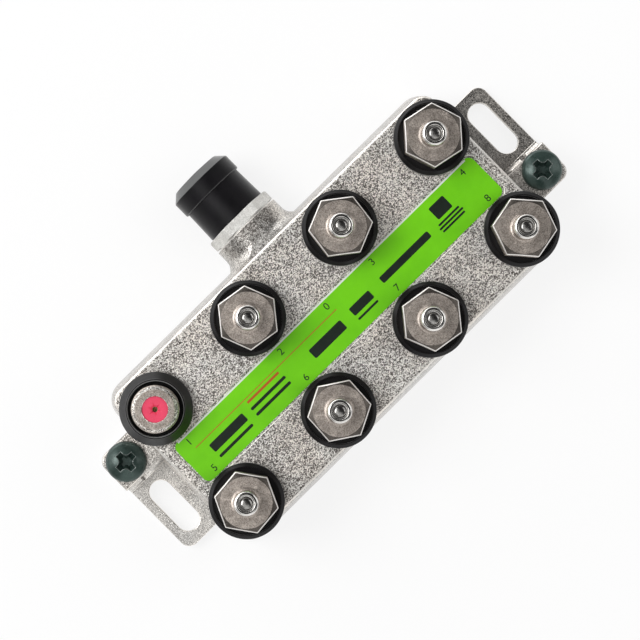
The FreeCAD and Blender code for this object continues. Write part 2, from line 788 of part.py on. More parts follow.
def cross_wire(scale, z):
    """Outline of a cross recess, its arms blended where they meet."""
    a = SCREW_CROSS / 2 * scale
    w = SCREW_CROSS_WIDTH / 2 * scale
    arm = [(a, -w, 0), (a, w, 0), (w, w, SCREW_CROSS_BLEND_R * scale)]
    corners = []
    for i in range(4):
        c = round(math.cos(math.pi / 2 * i))
        s = round(math.sin(math.pi / 2 * i))
        corners += [(c * x - s * y, s * x + c * y, r) for x, y, r in arm]
    return rounded_wire(corners, lambda x, y: V(x, y, z))


def ground_screw(screw_run):
    """Domed pan-head screw with a cross recess, clamping down into the right-hand ground block."""
    top = SCREW_HEAD_HEIGHT
    screw = turned(
        [
            (0, -SCREW_LENGTH, 0),
            (SCREW_R - SCREW_POINT, -SCREW_LENGTH, 0),
            (SCREW_R, -SCREW_LENGTH + SCREW_POINT, 0),
            (SCREW_R, 0, 0),
            (SCREW_HEAD_R, 0, 0),
            (SCREW_HEAD_R, SCREW_HEAD_SIDE, SCREW_HEAD_EDGE_R),
            (SCREW_DOME_FLAT_R, top, SCREW_DOME_R),
            (0, top, 0),
        ]
    )
    wires = [cross_wire(1, top), cross_wire(SCREW_CROSS_FLOOR, top - SCREW_CROSS_DEPTH)]
    recess = Part.makeLoft(wires, True, True)
    screw = screw.cut(recess)
    screw.translate(V(SCREW_X, EAR_LOW_Y + screw_run, BLOCK_TOP))
    return screw


# Export


def turned_to(solid, degrees):
    """A copy of a solid turned about Z."""
    copy = solid.copy()
    copy.rotate(V(0, 0, 0), UP, degrees)
    return copy


def pieces():
    """Every node's name and shape."""
    ports = port_places()
    made = {
        "housing": housing(),
        "back_plate": back_plate(),
        "label": label(),
        "circuit_board": circuit_board(),
        "ferrite_cores": ferrite_cores(),
        "core_windings": core_windings(),
        "power_choke": power_choke(),
        "chip_capacitors": chip_capacitors(),
        "input_connector": input_connector(),
        "input_insulator": input_insulator(),
        "input_contact": input_contact(),
        "input_cap": input_cap(),
        "ground_screw_1": to_left(ground_screw(LEFT_SCREW_RUN)),
        "ground_screw_2": ground_screw(RIGHT_SCREW_RUN),
    }
    plug = insulator(TIP_Z - CAVITY_TOP)
    jaw = contact(TIP_Z - BOARD_BOTTOM + TAIL_STICKOUT)
    rings = [seal_free()] + [seal_pressed()] * (len(ports) - 1)
    for number, place in enumerate(ports, 1):
        made[f"output_insulator_{number}"] = at_port(plug, place)
        made[f"output_contact_{number}"] = at_port(jaw, place)
        ring = rings[number - 1].copy()
        ring.translate(V(place.x, place.y, BODY_HEIGHT))
        made[f"seal_ring_{number}"] = ring
    shell, bead, resistor = terminator_shell(), terminator_bead(), terminator_resistor()
    for number, turn in enumerate(TERMINATOR_TURNS_DEG, 2):
        place = ports[number - 1]
        for name, solid in (("shell", turned_to(shell, turn)), ("bead", bead), ("resistor", resistor)):
            put = solid.copy()
            put.translate(V(place.x, place.y, 0))
            made[f"terminator_{number}_{name}"] = put
    return made


def main():
    """Builds every piece and writes one file for each."""
    os.makedirs("parts", exist_ok=True)
    for name, shape in pieces().items():
        shape.exportStep(f"parts/{name}.step")
        box = shape.BoundBox
        print(f"{name}: {len(shape.Solids)} solid(s), {shape.Volume:.1f} mm3, valid {shape.isValid()}, "
              f"z {box.ZMin:.2f} to {box.ZMax:.2f}")


main()
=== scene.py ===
import logging
import math
from collections.abc import Callable, Sequence
from dataclasses import dataclass
from enum import Enum

import bmesh
import bpy
import numpy as np
from mathutils import Matrix, Vector


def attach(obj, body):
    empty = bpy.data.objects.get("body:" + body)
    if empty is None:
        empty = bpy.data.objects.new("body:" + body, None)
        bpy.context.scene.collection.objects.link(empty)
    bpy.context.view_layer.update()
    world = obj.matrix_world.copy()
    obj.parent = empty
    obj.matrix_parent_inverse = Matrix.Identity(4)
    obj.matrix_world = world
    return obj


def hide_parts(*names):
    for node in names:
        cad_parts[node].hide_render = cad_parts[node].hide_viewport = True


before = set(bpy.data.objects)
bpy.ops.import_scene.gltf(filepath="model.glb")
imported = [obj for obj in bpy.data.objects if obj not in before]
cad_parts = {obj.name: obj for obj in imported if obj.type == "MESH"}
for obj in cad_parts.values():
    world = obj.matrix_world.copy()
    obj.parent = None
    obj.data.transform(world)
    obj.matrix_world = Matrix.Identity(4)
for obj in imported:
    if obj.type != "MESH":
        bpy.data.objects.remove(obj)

log = logging.getLogger("splitter")

MM = 0.001
MERGE_M = 1e-7
FLAT_DEG = 0.6
CREASE_DEG = 28
SHARP_DEG = 35
SMOOTH_DEG = 38
WORN_CORNER_DEG = 0.6
FOLDED_BACK = 0.9999
NO_TURN = 1e-5
NO_LENGTH = 1e-9
ROOT = "body"
HEX_TURNS_DEG = (51.5, 23.0, 48.5, 5.5, 27.0, 51.5, 11.5)

Color = tuple[float, float, float]
Corner = tuple[float, float, float]
Output = bpy.types.NodeSocket


# Places and outlines


class Lay(Enum):
    """How a turned piece lies: upright like the output ports, or along +Y like the input port."""

    UPRIGHT = "upright"
    TO_INPUT = "to_input"


@dataclass(frozen=True)
class Layout:
    """The sizes that the pieces share, in millimetres, as the solids have them."""

    pitch: float = 25.4
    columns: int = 4
    first_x: float = -38.1
    upper_y: float = 12.0
    lower_y: float = -13.4
    top_z: float = 16.5
    tip_z: float = 24.1
    barrel_r: float = 4.5
    shoulder_r: float = 4.7
    shoulder_z: float = 18.1
    insulator_r: float = 2.6
    input_z: float = 8.0
    hex_start_y: float = 25.8
    hex_end_y: float = 28.1
    input_tip_y: float = 37.1
    stem_start_y: float = 18.583
    ceiling_z: float = 14.3

    def numbers(self) -> range:
        """Gives the output ports' numbers."""
        return range(1, 2 * self.columns + 1)

    def port(self, number: int) -> tuple[float, float]:
        """Gives where an output port stands.

        Args:
            number: 1 to 8, the upper row from left to right, then the lower row.

        Returns:
            The port's x and y.
        """
        row, column = divmod(number - 1, self.columns)
        return self.first_x + self.pitch * column, (self.upper_y, self.lower_y)[row]


def even_turns(count: int = 96) -> np.ndarray:
    """Gives evenly spread angles round a full turn.

    Args:
        count: How many.

    Returns:
        The angles in radians.
    """
    return np.arange(count) * 2 * np.pi / count


def hex_turns(first_deg: float) -> np.ndarray:
    """Gives angles round a hexagon, close together at its corners and wide apart on its flats.

    Args:
        first_deg: Where the first corner points, counted from +X.

    Returns:
        The angles in radians.
    """
    near = np.array([0.0, 0.35, 0.8, 1.5, 4.0, 9.0, 16.0, 23.0, 30.0])
    half = np.concatenate([near, 60 - near[-2:0:-1]])
    return np.radians(first_deg + (np.arange(6)[:, None] * 60 + half).ravel())


def hex_reach(turns: np.ndarray, first_deg: float, flats: float, soft: float = 0.02) -> np.ndarray:
    """Gives how far a hexagon reaches in each direction.

    The reach is half the flats over the cosine of the angle from the middle of the nearest flat, and a
    narrow bell of height soft is taken off at each corner.

    Args:
        turns: The directions in radians.
        first_deg: Where the first corner points.
        flats: The width across flats.
        soft: How much each corner is worn down.

    Returns:
        The reach in each direction.
    """
    off = np.mod(np.degrees(turns) - first_deg, 60) - 30
    bell = np.exp(-(((30 - np.abs(off)) / WORN_CORNER_DEG) ** 2))
    return flats / 2 / np.cos(np.radians(off)) - soft * bell


def direction(vectors: np.ndarray) -> np.ndarray:
    """Gives each vector length 1, as the vector over its length.

    Args:
        vectors: Array (..., 2).

    Returns:
        An array of the same shape.
    """
    return vectors / np.maximum(np.linalg.norm(vectors, axis=-1, keepdims=True), NO_LENGTH)


def rounded(corners: np.ndarray, radii: np.ndarray, steps: int = 4) -> np.ndarray:
    """Rounds the corners of a closed outline, for many directions at once.

    The centre of each arc lies on the corner's bisector at radius over the sine of the half angle. A point
    of the arc is the two end spokes, weighted by sin((1 - t) w) and sin(t w) over sin(w), w being their
    angle.

    Args:
        corners: Array (n, m, 2): n corners of (radius, height) in m directions.
        radii: Array (n,) of rounding radii.
        steps: Points on each arc.

    Returns:
        Array (n * steps, m, 2) of the rounded outline.
    """
    before = direction(np.roll(corners, 1, axis=0) - corners)
    after = direction(np.roll(corners, -1, axis=0) - corners)
    cosine = np.clip((before * after).sum(-1, keepdims=True), -1, FOLDED_BACK)
    half = np.arccos(cosine) / 2
    radius = radii[:, None, None]
    centre = corners + direction(before + after) * radius / np.sin(half)
    run = radius / np.tan(half)
    start = corners + before * run - centre
    end = corners + after * run - centre
    sweep = np.maximum(np.pi - 2 * half, NO_TURN)[:, None]
    t = np.linspace(0, 1, steps)[None, :, None, None]
    spoke = np.sin((1 - t) * sweep) * start[:, None] + np.sin(t * sweep) * end[:, None]
    arcs = centre[:, None] + spoke / np.sin(sweep)
    return arcs.reshape(-1, *corners.shape[1:])


def spread(corners: Sequence[Corner], turns: np.ndarray) -> tuple[np.ndarray, np.ndarray]:
    """Repeats a plain outline in every direction.

    Args:
        corners: (radius, height, rounding) of each corner.
        turns: The directions in radians.

    Returns:
        The corners as an array (n, m, 2), and their roundings.
    """
    table = np.array(corners, float)
    return np.repeat(table[:, None, :2], len(turns), axis=1), table[:, 2]


# Meshes


def grid_mesh(name: str, points: np.ndarray) -> bpy.types.Mesh:
    """Makes a closed mesh from a grid of points that joins up in both directions.

    Face (i, j) joins rows i and i + 1 and columns j and j + 1, the last with the first. Rows that shrink to
    a point or lie on each other are merged. The map "surface" holds the share of the turn and the length
    run along the outline in millimetres.

    Args:
        name: The mesh's name.
        points: Array (rows, columns, 3) in millimetres.

    Returns:
        The mesh, in metres, with outward faces.
    """
    rows, columns = points.shape[:2]
    i = np.arange(rows)[:, None]
    j = np.arange(columns)[None, :]
    below, beside = (i + 1) % rows, (j + 1) % columns
    around = [i * columns + j, below * columns + j, below * columns + beside, i * columns + beside]
    faces = np.stack(around, -1)
    steps = np.linalg.norm(np.roll(points, -1, axis=0) - points, axis=-1).mean(axis=1)
    run = np.concatenate([[0.0], np.cumsum(steps)])
    share = np.arange(columns + 1) / columns
    cell = [(i, j), (i + 1, j), (i + 1, j + 1), (i, j + 1)]
    coords = [np.stack(np.broadcast_arrays(share[v], run[u]), -1) for u, v in cell]
    mesh = bpy.data.meshes.new(name)
    mesh.from_pydata(points.reshape(-1, 3) * MM, [], faces.reshape(-1, 4).tolist())
    layer = mesh.uv_layers.new(name="surface")
    layer.data.foreach_set("uv", np.stack(coords, 2).astype(np.float32).ravel())
    tidy_mesh(mesh)
    return mesh


def tidy_mesh(mesh: bpy.types.Mesh) -> None:
    """Merges doubled points, turns every face outwards and shades the mesh smooth up to a crease.

    Args:
        mesh: The mesh to tidy, in metres.
    """
    work = bmesh.new()
    work.from_mesh(mesh)
    bmesh.ops.remove_doubles(work, verts=work.verts, dist=MERGE_M)
    bmesh.ops.dissolve_degenerate(work, edges=work.edges, dist=MERGE_M)
    bmesh.ops.recalc_face_normals(work, faces=work.faces)
    work.to_mesh(mesh)
    work.free()
    mesh.shade_smooth()
    mesh.set_sharp_from_angle(angle=math.radians(SMOOTH_DEG))


def even_shading(piece: bpy.types.Object) -> None:
    """Lets the large faces rule the shading, so that flats stay flat beside their rounded edges.

    Args:
        piece: The object to shade.
    """
    weigh = piece.modifiers.new("even_shading", "WEIGHTED_NORMAL")
    weigh.mode = "FACE_AREA_WITH_ANGLE"
    weigh.keep_sharp = True


def new_object(mesh: bpy.types.Mesh) -> bpy.types.Object:
    """Puts a mesh into the scene as an object of the same name.

    Args:
        mesh: The mesh, its place already in its points.

    Returns:
        The object, at the origin.
    """
    piece = bpy.data.objects.new(mesh.name, mesh)
    bpy.context.scene.collection.objects.link(piece)
    return piece


def turned_piece(
    name: str,
    outline: tuple[np.ndarray, np.ndarray],
    turns: np.ndarray,
    place: tuple[float, float, float],
    lay: Lay = Lay.UPRIGHT,
    steps: int = 4,
) -> bpy.types.Object:
    """Turns a closed outline about its axis.

    A point of radius r and height h in direction a is (r cos a, r sin a, h). Laid to the input it becomes
    (r cos a, h, -r sin a). The place is added last.

    Args:
        name: The piece's name.
        outline: Corners (n, m, 2) in m directions, and their roundings.
        turns: The m directions in radians.
        place: Where the outline's origin goes, in millimetres.
        lay: Upright, or along +Y.
        steps: Points on each rounded corner.

    Returns:
        The piece as an object.
    """
    line = rounded(*outline, steps=steps)
    return ring_piece(name, line[..., 0], line[..., 1], turns, place, lay)


def ring_piece(
    name: str,
    radius: np.ndarray,
    height: np.ndarray,
    turns: np.ndarray,
    place: tuple[float, float, float],
    lay: Lay = Lay.UPRIGHT,
) -> bpy.types.Object:
    """Makes a turned piece from the radius and height of every grid point.

    Args:
        name: The piece's name.
        radius: Array (rows, m) of radii.
        height: Array (rows, m) of heights.
        turns: The m directions in radians.
        place: Where the axis' origin goes, in millimetres.
        lay: Upright, or along +Y.

    Returns:
        The piece as an object.
    """
    across, along = radius * np.cos(turns), radius * np.sin(turns)
    if lay is Lay.UPRIGHT:
        points = np.stack([across, along, height], -1)
    else:
        points = np.stack([across, height, -along], -1)
    piece = new_object(grid_mesh(name, points + np.array(place)))
    even_shading(piece)
    return piece


def mark_painted_light(piece: bpy.types.Object, share: Callable[[np.ndarray, np.ndarray], np.ndarray]) -> None:
    """Gives each face its share, 0 to 1, in the attribute "edge", which the finishes turn into a painted
    highlight (seal ring, cap) and painted shade (hex chamfers).

    Args:
        piece: The object.
        share: Works out the shares from the faces' middles, in millimetres, and their outward directions,
            both as arrays (m, 3).
    """
    mesh = piece.data
    middle, facing = np.zeros((2, len(mesh.polygons), 3), np.float32)
    mesh.polygons.foreach_get("center", middle.ravel())
    mesh.polygons.foreach_get("normal", facing.ravel())
    layer = mesh.attributes.new("edge", "FLOAT", "FACE")
    layer.data.foreach_set("value", share(middle / MM, facing).astype(np.float32))


def plan_plate(name: str, outline: np.ndarray, low: float, high: float) -> bpy.types.Object:
    """Makes a thin plate on a plan outline.

    Its rows run from the middle of the underside out to the edge, up, and back to the middle of the top.

    Args:
        name: The piece's name.
        outline: Array (m, 2) of the plan's edge, in millimetres.
        low: Height of the underside.
        high: Height of the top.

    Returns:
        The piece as an object.
    """
    middle = outline.mean(axis=0)
    share = np.array([0.0, 1.0, 1.0, 0.0])[:, None, None]
    level = np.array([low, low, high, high])[:, None, None]
    plan = middle + share * (outline - middle)
    points = np.concatenate([plan, np.broadcast_to(level, plan.shape[:2] + (1,))], -1)
    return new_object(grid_mesh(name, points))


def bar_outline(x: float, y: float, length: float, width: float, corner: float) -> np.ndarray:
    """Gives the edge of a rounded bar.

    Four quarter circles of the corner radius stand at the bar's corners, one after the other.

    Args:
        x: Middle of the bar along X.
        y: Middle of the bar along Y.
        length: Size along X.
        width: Size along Y.
        corner: Corner radius.

    Returns:
        Array (m, 2) of points.
    """
    quarter = np.linspace(0, np.pi / 2, 5)
    angle = (np.arange(4)[:, None] * np.pi / 2 + quarter).ravel()
    sign_x = np.repeat([1, -1, -1, 1], 5)
    sign_y = np.repeat([1, 1, -1, -1], 5)
    across = x + sign_x * (length / 2 - corner) + corner * np.cos(angle)
    along = y + sign_y * (width / 2 - corner) + corner * np.sin(angle)
    return np.stack([across, along], -1)


def softened_copy(
    node: str,
    name: str,
    width_mm: float,
    chosen: Callable[[Vector], bool],
    lean: tuple[float, float] | None = None,
) -> bpy.types.Object:
    """Copies a solid's mesh, joins its flat triangles into faces and rounds its sharp outward edges.

    The rounded strips, and the chosen faces that lean, carry 1 in the attribute "edge"; the rest carries 0.

    Args:
        node: The solid's node.
        name: The copy's name.
        width_mm: How wide the rounding is.
        chosen: Tells from a place, in millimetres, whether its edges are rounded.
        lean: Between which upward shares of its direction a face counts as leaning, if any does.

    Returns:
        The copy as an object of its own.
    """
    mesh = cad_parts[node].data.copy()
    mesh.name = name
    mesh.materials.clear()
    work = bmesh.new()
    work.from_mesh(mesh)
    bmesh.ops.remove_doubles(work, verts=work.verts, dist=MERGE_M)
    bmesh.ops.dissolve_limit(work, angle_limit=math.radians(FLAT_DEG), verts=work.verts, edges=work.edges)
    strip = work.faces.layers.float.new("edge")
    sharp = [edge for edge in work.edges
             if edge.is_convex and edge.calc_face_angle() > math.radians(SHARP_DEG)
             and chosen((edge.verts[0].co + edge.verts[1].co) / (2 * MM))]
    made = bmesh.ops.bevel(work, geom=sharp, offset=width_mm * MM, offset_type="OFFSET", segments=2,
                           profile=0.5, affect="EDGES", clamp_overlap=False)
    leaning = [face for face in work.faces
               if lean and lean[0] < face.normal.z < lean[1] and chosen(face.calc_center_median() / MM)]
    for face in made["faces"] + leaning:
        face[strip] = 1.0
    crease = math.radians(CREASE_DEG)
    for edge in work.edges:
        edge.smooth = any(face[strip] for face in edge.link_faces) or edge.calc_face_angle() < crease
    work.to_mesh(mesh)
    work.free()
    mesh.shade_smooth()
    piece = new_object(mesh)
    even_shading(piece)
    log.info("%s has %d rounded edges", name, len(sharp))
    return piece


# Finishes


class Wiring:
    """A node tree, with the wirings that the finishes and the surroundings share."""

    def __init__(self, tree: bpy.types.NodeTree) -> None:
        """Takes a node tree.

        Args:
            tree: The tree to add nodes to.
        """
        self.tree = tree

    def seen(self) -> Output:
        """Tells the rays that look at a surface or mirror it from those that only gather its light.

        Returns:
            1 for camera, glossy and transmission rays, 0 for the rest.
        """
        path = self.add("ShaderNodeLightPath").outputs
        mirrored = self.join(path["Is Glossy Ray"], path["Is Transmission Ray"], "MAXIMUM")
        return self.join(path["Is Camera Ray"], mirrored, "MAXIMUM")

    def add(self, kind: str, **inputs: object) -> bpy.types.Node:
        """Adds a node.

        Args:
            kind: The node's type.
            **inputs: Input values or links, by input name with underscores for spaces.

        Returns:
            The node.
        """
        node = self.tree.nodes.new(kind)
        for key, value in inputs.items():
            self.feed(node.inputs[key.replace("_", " ")], value)
        return node

    def feed(self, socket: bpy.types.NodeSocket, value: object) -> None:
        """Sets an input to a value, or links it to an output.

        Args:
            socket: The input.
            value: A number, a tuple or another node's output.
        """
        if isinstance(value, bpy.types.NodeSocket):
            self.tree.links.new(value, socket)
        elif isinstance(value, tuple) and len(value) == 3 and socket.type == "RGBA":
            socket.default_value = (*value, 1.0)
        else:
            socket.default_value = value

    def level(self, value: Output, low: float, high: float, to_low: float, to_high: float) -> Output:
        """Maps one range of a value to another, and holds it there.

        Args:
            value: The value.
            low: Start of its range.
            high: End of its range.
            to_low: What the start becomes.
            to_high: What the end becomes.

        Returns:
            The mapped value.
        """
        node = self.add("ShaderNodeMapRange", Value=value, From_Min=low, From_Max=high, To_Min=to_low,
                        To_Max=to_high)
        return node.outputs["Result"]

    def mix(self, share: Output, first: object, second: object) -> Output:
        """Mixes two colours.

        Args:
            share: How much of the second.
            first: A colour or an output.
            second: A colour or an output.

        Returns:
            The mixed colour.
        """
        node = self.tree.nodes.new("ShaderNodeMix")
        node.data_type = "RGBA"
        self.feed(node.inputs[0], share)
        self.feed(node.inputs[6], first)
        self.feed(node.inputs[7], second)
        return node.outputs[2]

    def attribute(self, name: str) -> Output:
        """Reads one of the mesh's own values.

        Args:
            name: The attribute.

        Returns:
            Its value.
        """
        node = self.add("ShaderNodeAttribute")
        node.attribute_name = name
        return node.outputs["Fac"]

    def join(self, first: object, second: object, how: str = "ADD") -> Output:
        """Joins two values by arithmetic.

        Args:
            first: The first value, or a number.
            second: The second value, or a number.
            how: The operation.

        Returns:
            The result.
        """
        node = self.tree.nodes.new("ShaderNodeMath")
        node.operation = how
        self.feed(node.inputs[0], first)
        self.feed(node.inputs[1], second)
        return node.outputs[0]


class Shading(Wiring):
    """One material's nodes."""

    def __init__(self, name: str) -> None:
        """Starts a material.

        Args:
            name: The material's name.
        """
        self.material = bpy.data.materials.new(name)
        self.material.use_nodes = True
        super().__init__(self.material.node_tree)
        self.shader = self.tree.nodes["Principled BSDF"]
        self.object = self.add("ShaderNodeTexCoord").outputs["Object"]

    def noise(
        self, size_mm: float, detail: float = 2.0, where: Output | None = None, rough: float = 0.5
    ) -> Output:
        """Gives a soft noise.

        Args:
            size_mm: The size of its lumps.
            detail: Its octaves.
            where: The coordinates, the object's own if left out.
            rough: How strong the finer octaves are.

        Returns:
            The noise, about 0 to 1.
        """
        node = self.add("ShaderNodeTexNoise", Vector=where or self.object, Scale=1 / (size_mm * MM),
                        Detail=detail, Roughness=rough)
        return node.outputs["Fac"]

    def cells(self, size_mm: float) -> bpy.types.Node:
        """Gives a pattern of crystal-like cells.

        Args:
            size_mm: The size of a cell.

        Returns:
            The node, with outputs Distance and Color.
        """
        return self.add("ShaderNodeTexVoronoi", Vector=self.object, Scale=1 / (size_mm * MM))

    def bump(self, height: Output, depth_mm: float, below: Output | None = None) -> Output:
        """Raises the surface by a height pattern.

        Args:
            height: The pattern, 0 to 1.
            depth_mm: How deep it is.
            below: A coarser bump that it lies on.

        Returns:
            The normal.
        """
        node = self.add("ShaderNodeBump", Height=height, Distance=depth_mm * MM, Strength=1.0)
        if below is not None:
            self.feed(node.inputs["Normal"], below)
        return node.outputs["Normal"]

    def dress(self, **inputs: object) -> bpy.types.Material:
        """Sets the shader's inputs.

        Args:
            **inputs: Values or outputs, by input name with underscores for spaces.

        Returns:
            The finished material.
        """
        for key, value in inputs.items():
            self.feed(self.shader.inputs[key.replace("_", " ")], value)
        return self.material


@dataclass(frozen=True)
class CastNickel:
    """Nickel plating over a blasted zinc casting.

    The grain is harsh on the top face, calmer on the walls and slight on the ears' plates. The rounded edges
    and leaning faces are smooth and painted lighter, a painted highlight; the boss is painted darker on its
    upper side, painted shade for a dark reflection; and the left ear's plate is painted paler, painted light.
    """

    name: str = "nickel_casting"
    light: Color = (0.94, 0.885, 0.82)
    cool_light: Color = (0.90, 0.88, 0.84)
    dark: Color = (0.10, 0.087, 0.078)
    tint_mm: float = 9.0
    cloud_mm: float = 5.0
    cloud_low: float = 0.40
    cloud_high: float = 0.64
    grain_mm: float = 0.215
    grain_depth_mm: float = 0.09
    grain_tone: float = 0.62
    facet_tone: float = 0.55
    facet_height: float = 0.4
    rough_low: float = 0.28
    rough_high: float = 0.52
    # How much the edges and leaning faces are painted lighter: a painted highlight.
    edge_highlight_tone: float = 0.3
    top_from_mm: float = 15.7
    top_full_mm: float = 16.0
    calm_grain: float = 0.45
    calm_rough: float = -0.16
    plate_full_mm: float = 5.0
    plate_to_mm: float = 6.0
    plate_grain: float = 0.16
    # The left ear's plate is painted paler: painted light.
    painted_light_full_mm: float = -48.0
    painted_light_to_mm: float = -44.0
    painted_light_tone: float = 0.42
    # The boss's upper side is painted darker: painted shade standing in for a dark reflection.
    boss_from_mm: float = 21.4
    boss_full_mm: float = 22.2
    boss_shade_from_mm: float = 12.0
    boss_shade_full_mm: float = 14.5
    boss_shade_tone: float = 0.24

    def material(self) -> bpy.types.Material:
        """Builds the material.

        Returns:
            The material.
        """
        s = Shading(self.name)
        place = s.add("ShaderNodeSeparateXYZ", Vector=s.object).outputs
        x, y, z = (s.join(place[axis], 1 / MM, "MULTIPLY") for axis in "XYZ")
        # Painted shade on the boss's upper side.
        boss = s.level(y, self.boss_from_mm, self.boss_full_mm, 0.0, self.boss_shade_tone)
        boss_shade = s.join(boss, s.level(z, self.boss_shade_from_mm, self.boss_shade_full_mm, 0.0, 1.0), "MULTIPLY")
        plate = s.level(z, self.plate_full_mm, self.plate_to_mm, 1.0, 0.0)
        # Painted light: the left ear's plate is lifted paler.
        pale = s.join(plate, s.level(x, self.painted_light_full_mm, self.painted_light_to_mm, self.painted_light_tone, 0.0), "MULTIPLY")
        blasted = s.level(z, self.top_from_mm, self.top_full_mm, self.calm_grain, 1.0)
        blasted = s.join(blasted, s.join(plate, self.plate_grain - self.calm_grain, "MULTIPLY"))
        edge = s.attribute("edge")
        strength = s.join(blasted, s.join(1.0, edge, "SUBTRACT"), "MULTIPLY")
        grain = s.noise(self.grain_mm, 2.0, rough=0.8)
        facet = s.add("ShaderNodeSeparateColor", Color=s.cells(self.grain_mm).outputs["Color"]).outputs
        harsh = s.join(s.level(grain, 0.35, 0.65, -self.grain_tone, self.grain_tone),
                       s.level(facet["Red"], 0.2, 0.8, -self.facet_tone, self.facet_tone))
        cloud = s.level(s.noise(self.cloud_mm, 3.0), 0.3, 0.7, self.cloud_low, self.cloud_high)
        tone = s.join(s.join(harsh, strength, "MULTIPLY"), cloud)
        tone = s.join(s.join(tone, pale), boss_shade, "SUBTRACT")
        tint = s.mix(s.level(s.noise(self.tint_mm, 1.0), 0.35, 0.65, 0.0, 1.0), self.light, self.cool_light)
        # Painted highlight: the faces marked in "edge" are lifted toward the light colour.
        color = s.mix(s.join(tone, s.join(edge, self.edge_highlight_tone, "MULTIPLY")), self.dark, tint)
        rough = s.level(facet["Green"], 0.0, 1.0, self.rough_low, self.rough_high)
        calm = s.join(s.join(1.0, blasted, "SUBTRACT"), self.calm_rough, "MULTIPLY")
        height = s.join(grain, s.join(facet["Blue"], self.facet_height, "MULTIPLY"))
        height = s.join(height, strength, "MULTIPLY")
        return s.dress(Base_Color=color, Metallic=1.0, Roughness=s.join(rough, calm),
                       Normal=s.bump(height, self.grain_depth_mm))


@dataclass(frozen=True)
class TurnedNickel:
    """Nickel over turned brass: smoother and darker, with fine tool rings, specks and soft stains.

    Where the attribute "edge" is 1, the nickel is darkened by its share: painted shade, standing in for a
    dark reflection.
    """

    name: str
    light: Color
    dark: Color
    rough_low: float
    rough_high: float
    ring_mm: float = 0.16
    ring_depth_mm: float = 0.006
    metallic: float = 1.0
    speck_low: float = 0.35
    painted_shade: float = 0.0
    painted_shade_color: Color = (0.03, 0.027, 0.024)
    turn_mm: float = 1.5
    stain_mm: float = 1.8
    speck_mm: float = 0.2
    speck_depth_mm: float = 0.012

    def material(self) -> bpy.types.Material:
        """Builds the material.

        Returns:
            The material.
        """
        s = Shading(self.name)
        surface = s.add("ShaderNodeUVMap")
        surface.uv_map = "surface"
        stretch = s.add("ShaderNodeMapping", Vector=surface.outputs["UV"], Scale=(self.turn_mm * MM, MM, MM))
        rings = s.noise(self.ring_mm, 3.0, stretch.outputs["Vector"])
        stain = s.level(s.noise(self.stain_mm, 3.0), 0.3, 0.7, 0.45, 1.0)
        speck = s.noise(self.speck_mm, 2.0, rough=0.8)
        tone = s.join(stain, s.level(speck, 0.38, 0.6, self.speck_low, 1.0), "MULTIPLY")
        color = s.mix(tone, self.dark, self.light)
        # Painted shade: the faces marked in "edge" are darkened toward near black, a painted dark reflection.
        if self.painted_shade:
            color = s.mix(s.join(s.attribute("edge"), self.painted_shade, "MULTIPLY"), color, self.painted_shade_color)
        rough = s.level(s.join(rings, speck), 0.6, 1.4, self.rough_low, self.rough_high)
        grain = s.bump(speck, self.speck_depth_mm)
        return s.dress(Base_Color=color, Metallic=self.metallic, Roughness=rough,
                       Normal=s.bump(rings, self.ring_depth_mm, grain))


@dataclass(frozen=True)
class Moulded:
    """A moulded or coated surface: one colour with slight mottling, a fine skin and a few rubs.

    Where the attribute "edge" is 1, it is painted pale by its share: a painted highlight.
    """

    name: str
    light: Color
    dark: Color
    rough_low: float = 0.35
    rough_high: float = 0.5
    skin_mm: float = 0.25
    skin_depth_mm: float = 0.008
    metallic: float = 0.0
    coat: float = 0.0
    coat_rough: float = 0.1
    specular: float = 0.5
    sheen: float = 0.0
    painted_highlight: float = 0.0
    painted_highlight_color: Color = (0.85, 0.87, 0.86)
    sheen_rough: float = 0.35
    cloud_mm: float = 2.6
    rub_mm: float = 1.1

    def material(self) -> bpy.types.Material:
        """Builds the material.

        Returns:
            The material.
        """
        s = Shading(self.name)
        cloud = s.noise(self.cloud_mm, 4.0)
        skin = s.noise(self.skin_mm, 3.0, rough=0.6)
        tone = s.join(s.level(cloud, 0.3, 0.7, 0.25, 0.85), s.level(skin, 0.3, 0.7, -0.2, 0.2))
        color = s.mix(tone, self.dark, self.light)
        # Painted highlight: the faces marked in "edge" are lifted toward a pale colour.
        if self.painted_highlight:
            color = s.mix(s.join(s.attribute("edge"), self.painted_highlight, "MULTIPLY"), color, self.painted_highlight_color)
        rub = s.level(s.noise(self.rub_mm, 5.0, rough=0.7), 0.35, 0.65, self.rough_low, self.rough_high)
        return s.dress(Base_Color=color, Metallic=self.metallic, Roughness=rub, Coat_Weight=self.coat,
                       Coat_Roughness=self.coat_rough, Specular_IOR_Level=self.specular,
                       Sheen_Weight=self.sheen, Sheen_Roughness=self.sheen_rough,
                       Normal=s.bump(skin, self.skin_depth_mm))


@dataclass(frozen=True)
class PrintedFilm:
    """The label's film: vivid green under a clear gloss, with a very fine screen and a slight wave."""

    name: str = "green_label"
    light: Color = (0.20, 0.73, 0.004)
    dark: Color = (0.15, 0.60, 0.003)
    cloud_mm: float = 6.0
    screen_mm: float = 0.12
    screen_depth_mm: float = 0.003
    wave_mm: float = 4.0
    wave_depth_mm: float = 0.02
    rub_mm: float = 0.9
    coat: float = 0.3
    coat_rough: float = 0.12
    specular: float = 0.25

    def material(self) -> bpy.types.Material:
        """Builds the material.

        Returns:
            The material.
        """
        s = Shading(self.name)
        cloud = s.noise(self.cloud_mm, 3.0)
        screen = s.noise(self.screen_mm, 1.0)
        tone = s.join(s.level(cloud, 0.3, 0.7, 0.1, 0.8), s.level(screen, 0.3, 0.7, -0.1, 0.25))
        wave = s.bump(s.noise(self.wave_mm, 2.0), self.wave_depth_mm)
        rough = s.level(s.noise(self.rub_mm, 4.0), 0.35, 0.65, 0.3, 0.42)
        return s.dress(Base_Color=s.mix(tone, self.dark, self.light), Roughness=rough, Coat_Weight=self.coat,
                       Coat_Roughness=self.coat_rough, Specular_IOR_Level=self.specular,
                       Normal=s.bump(screen, self.screen_depth_mm, wave))


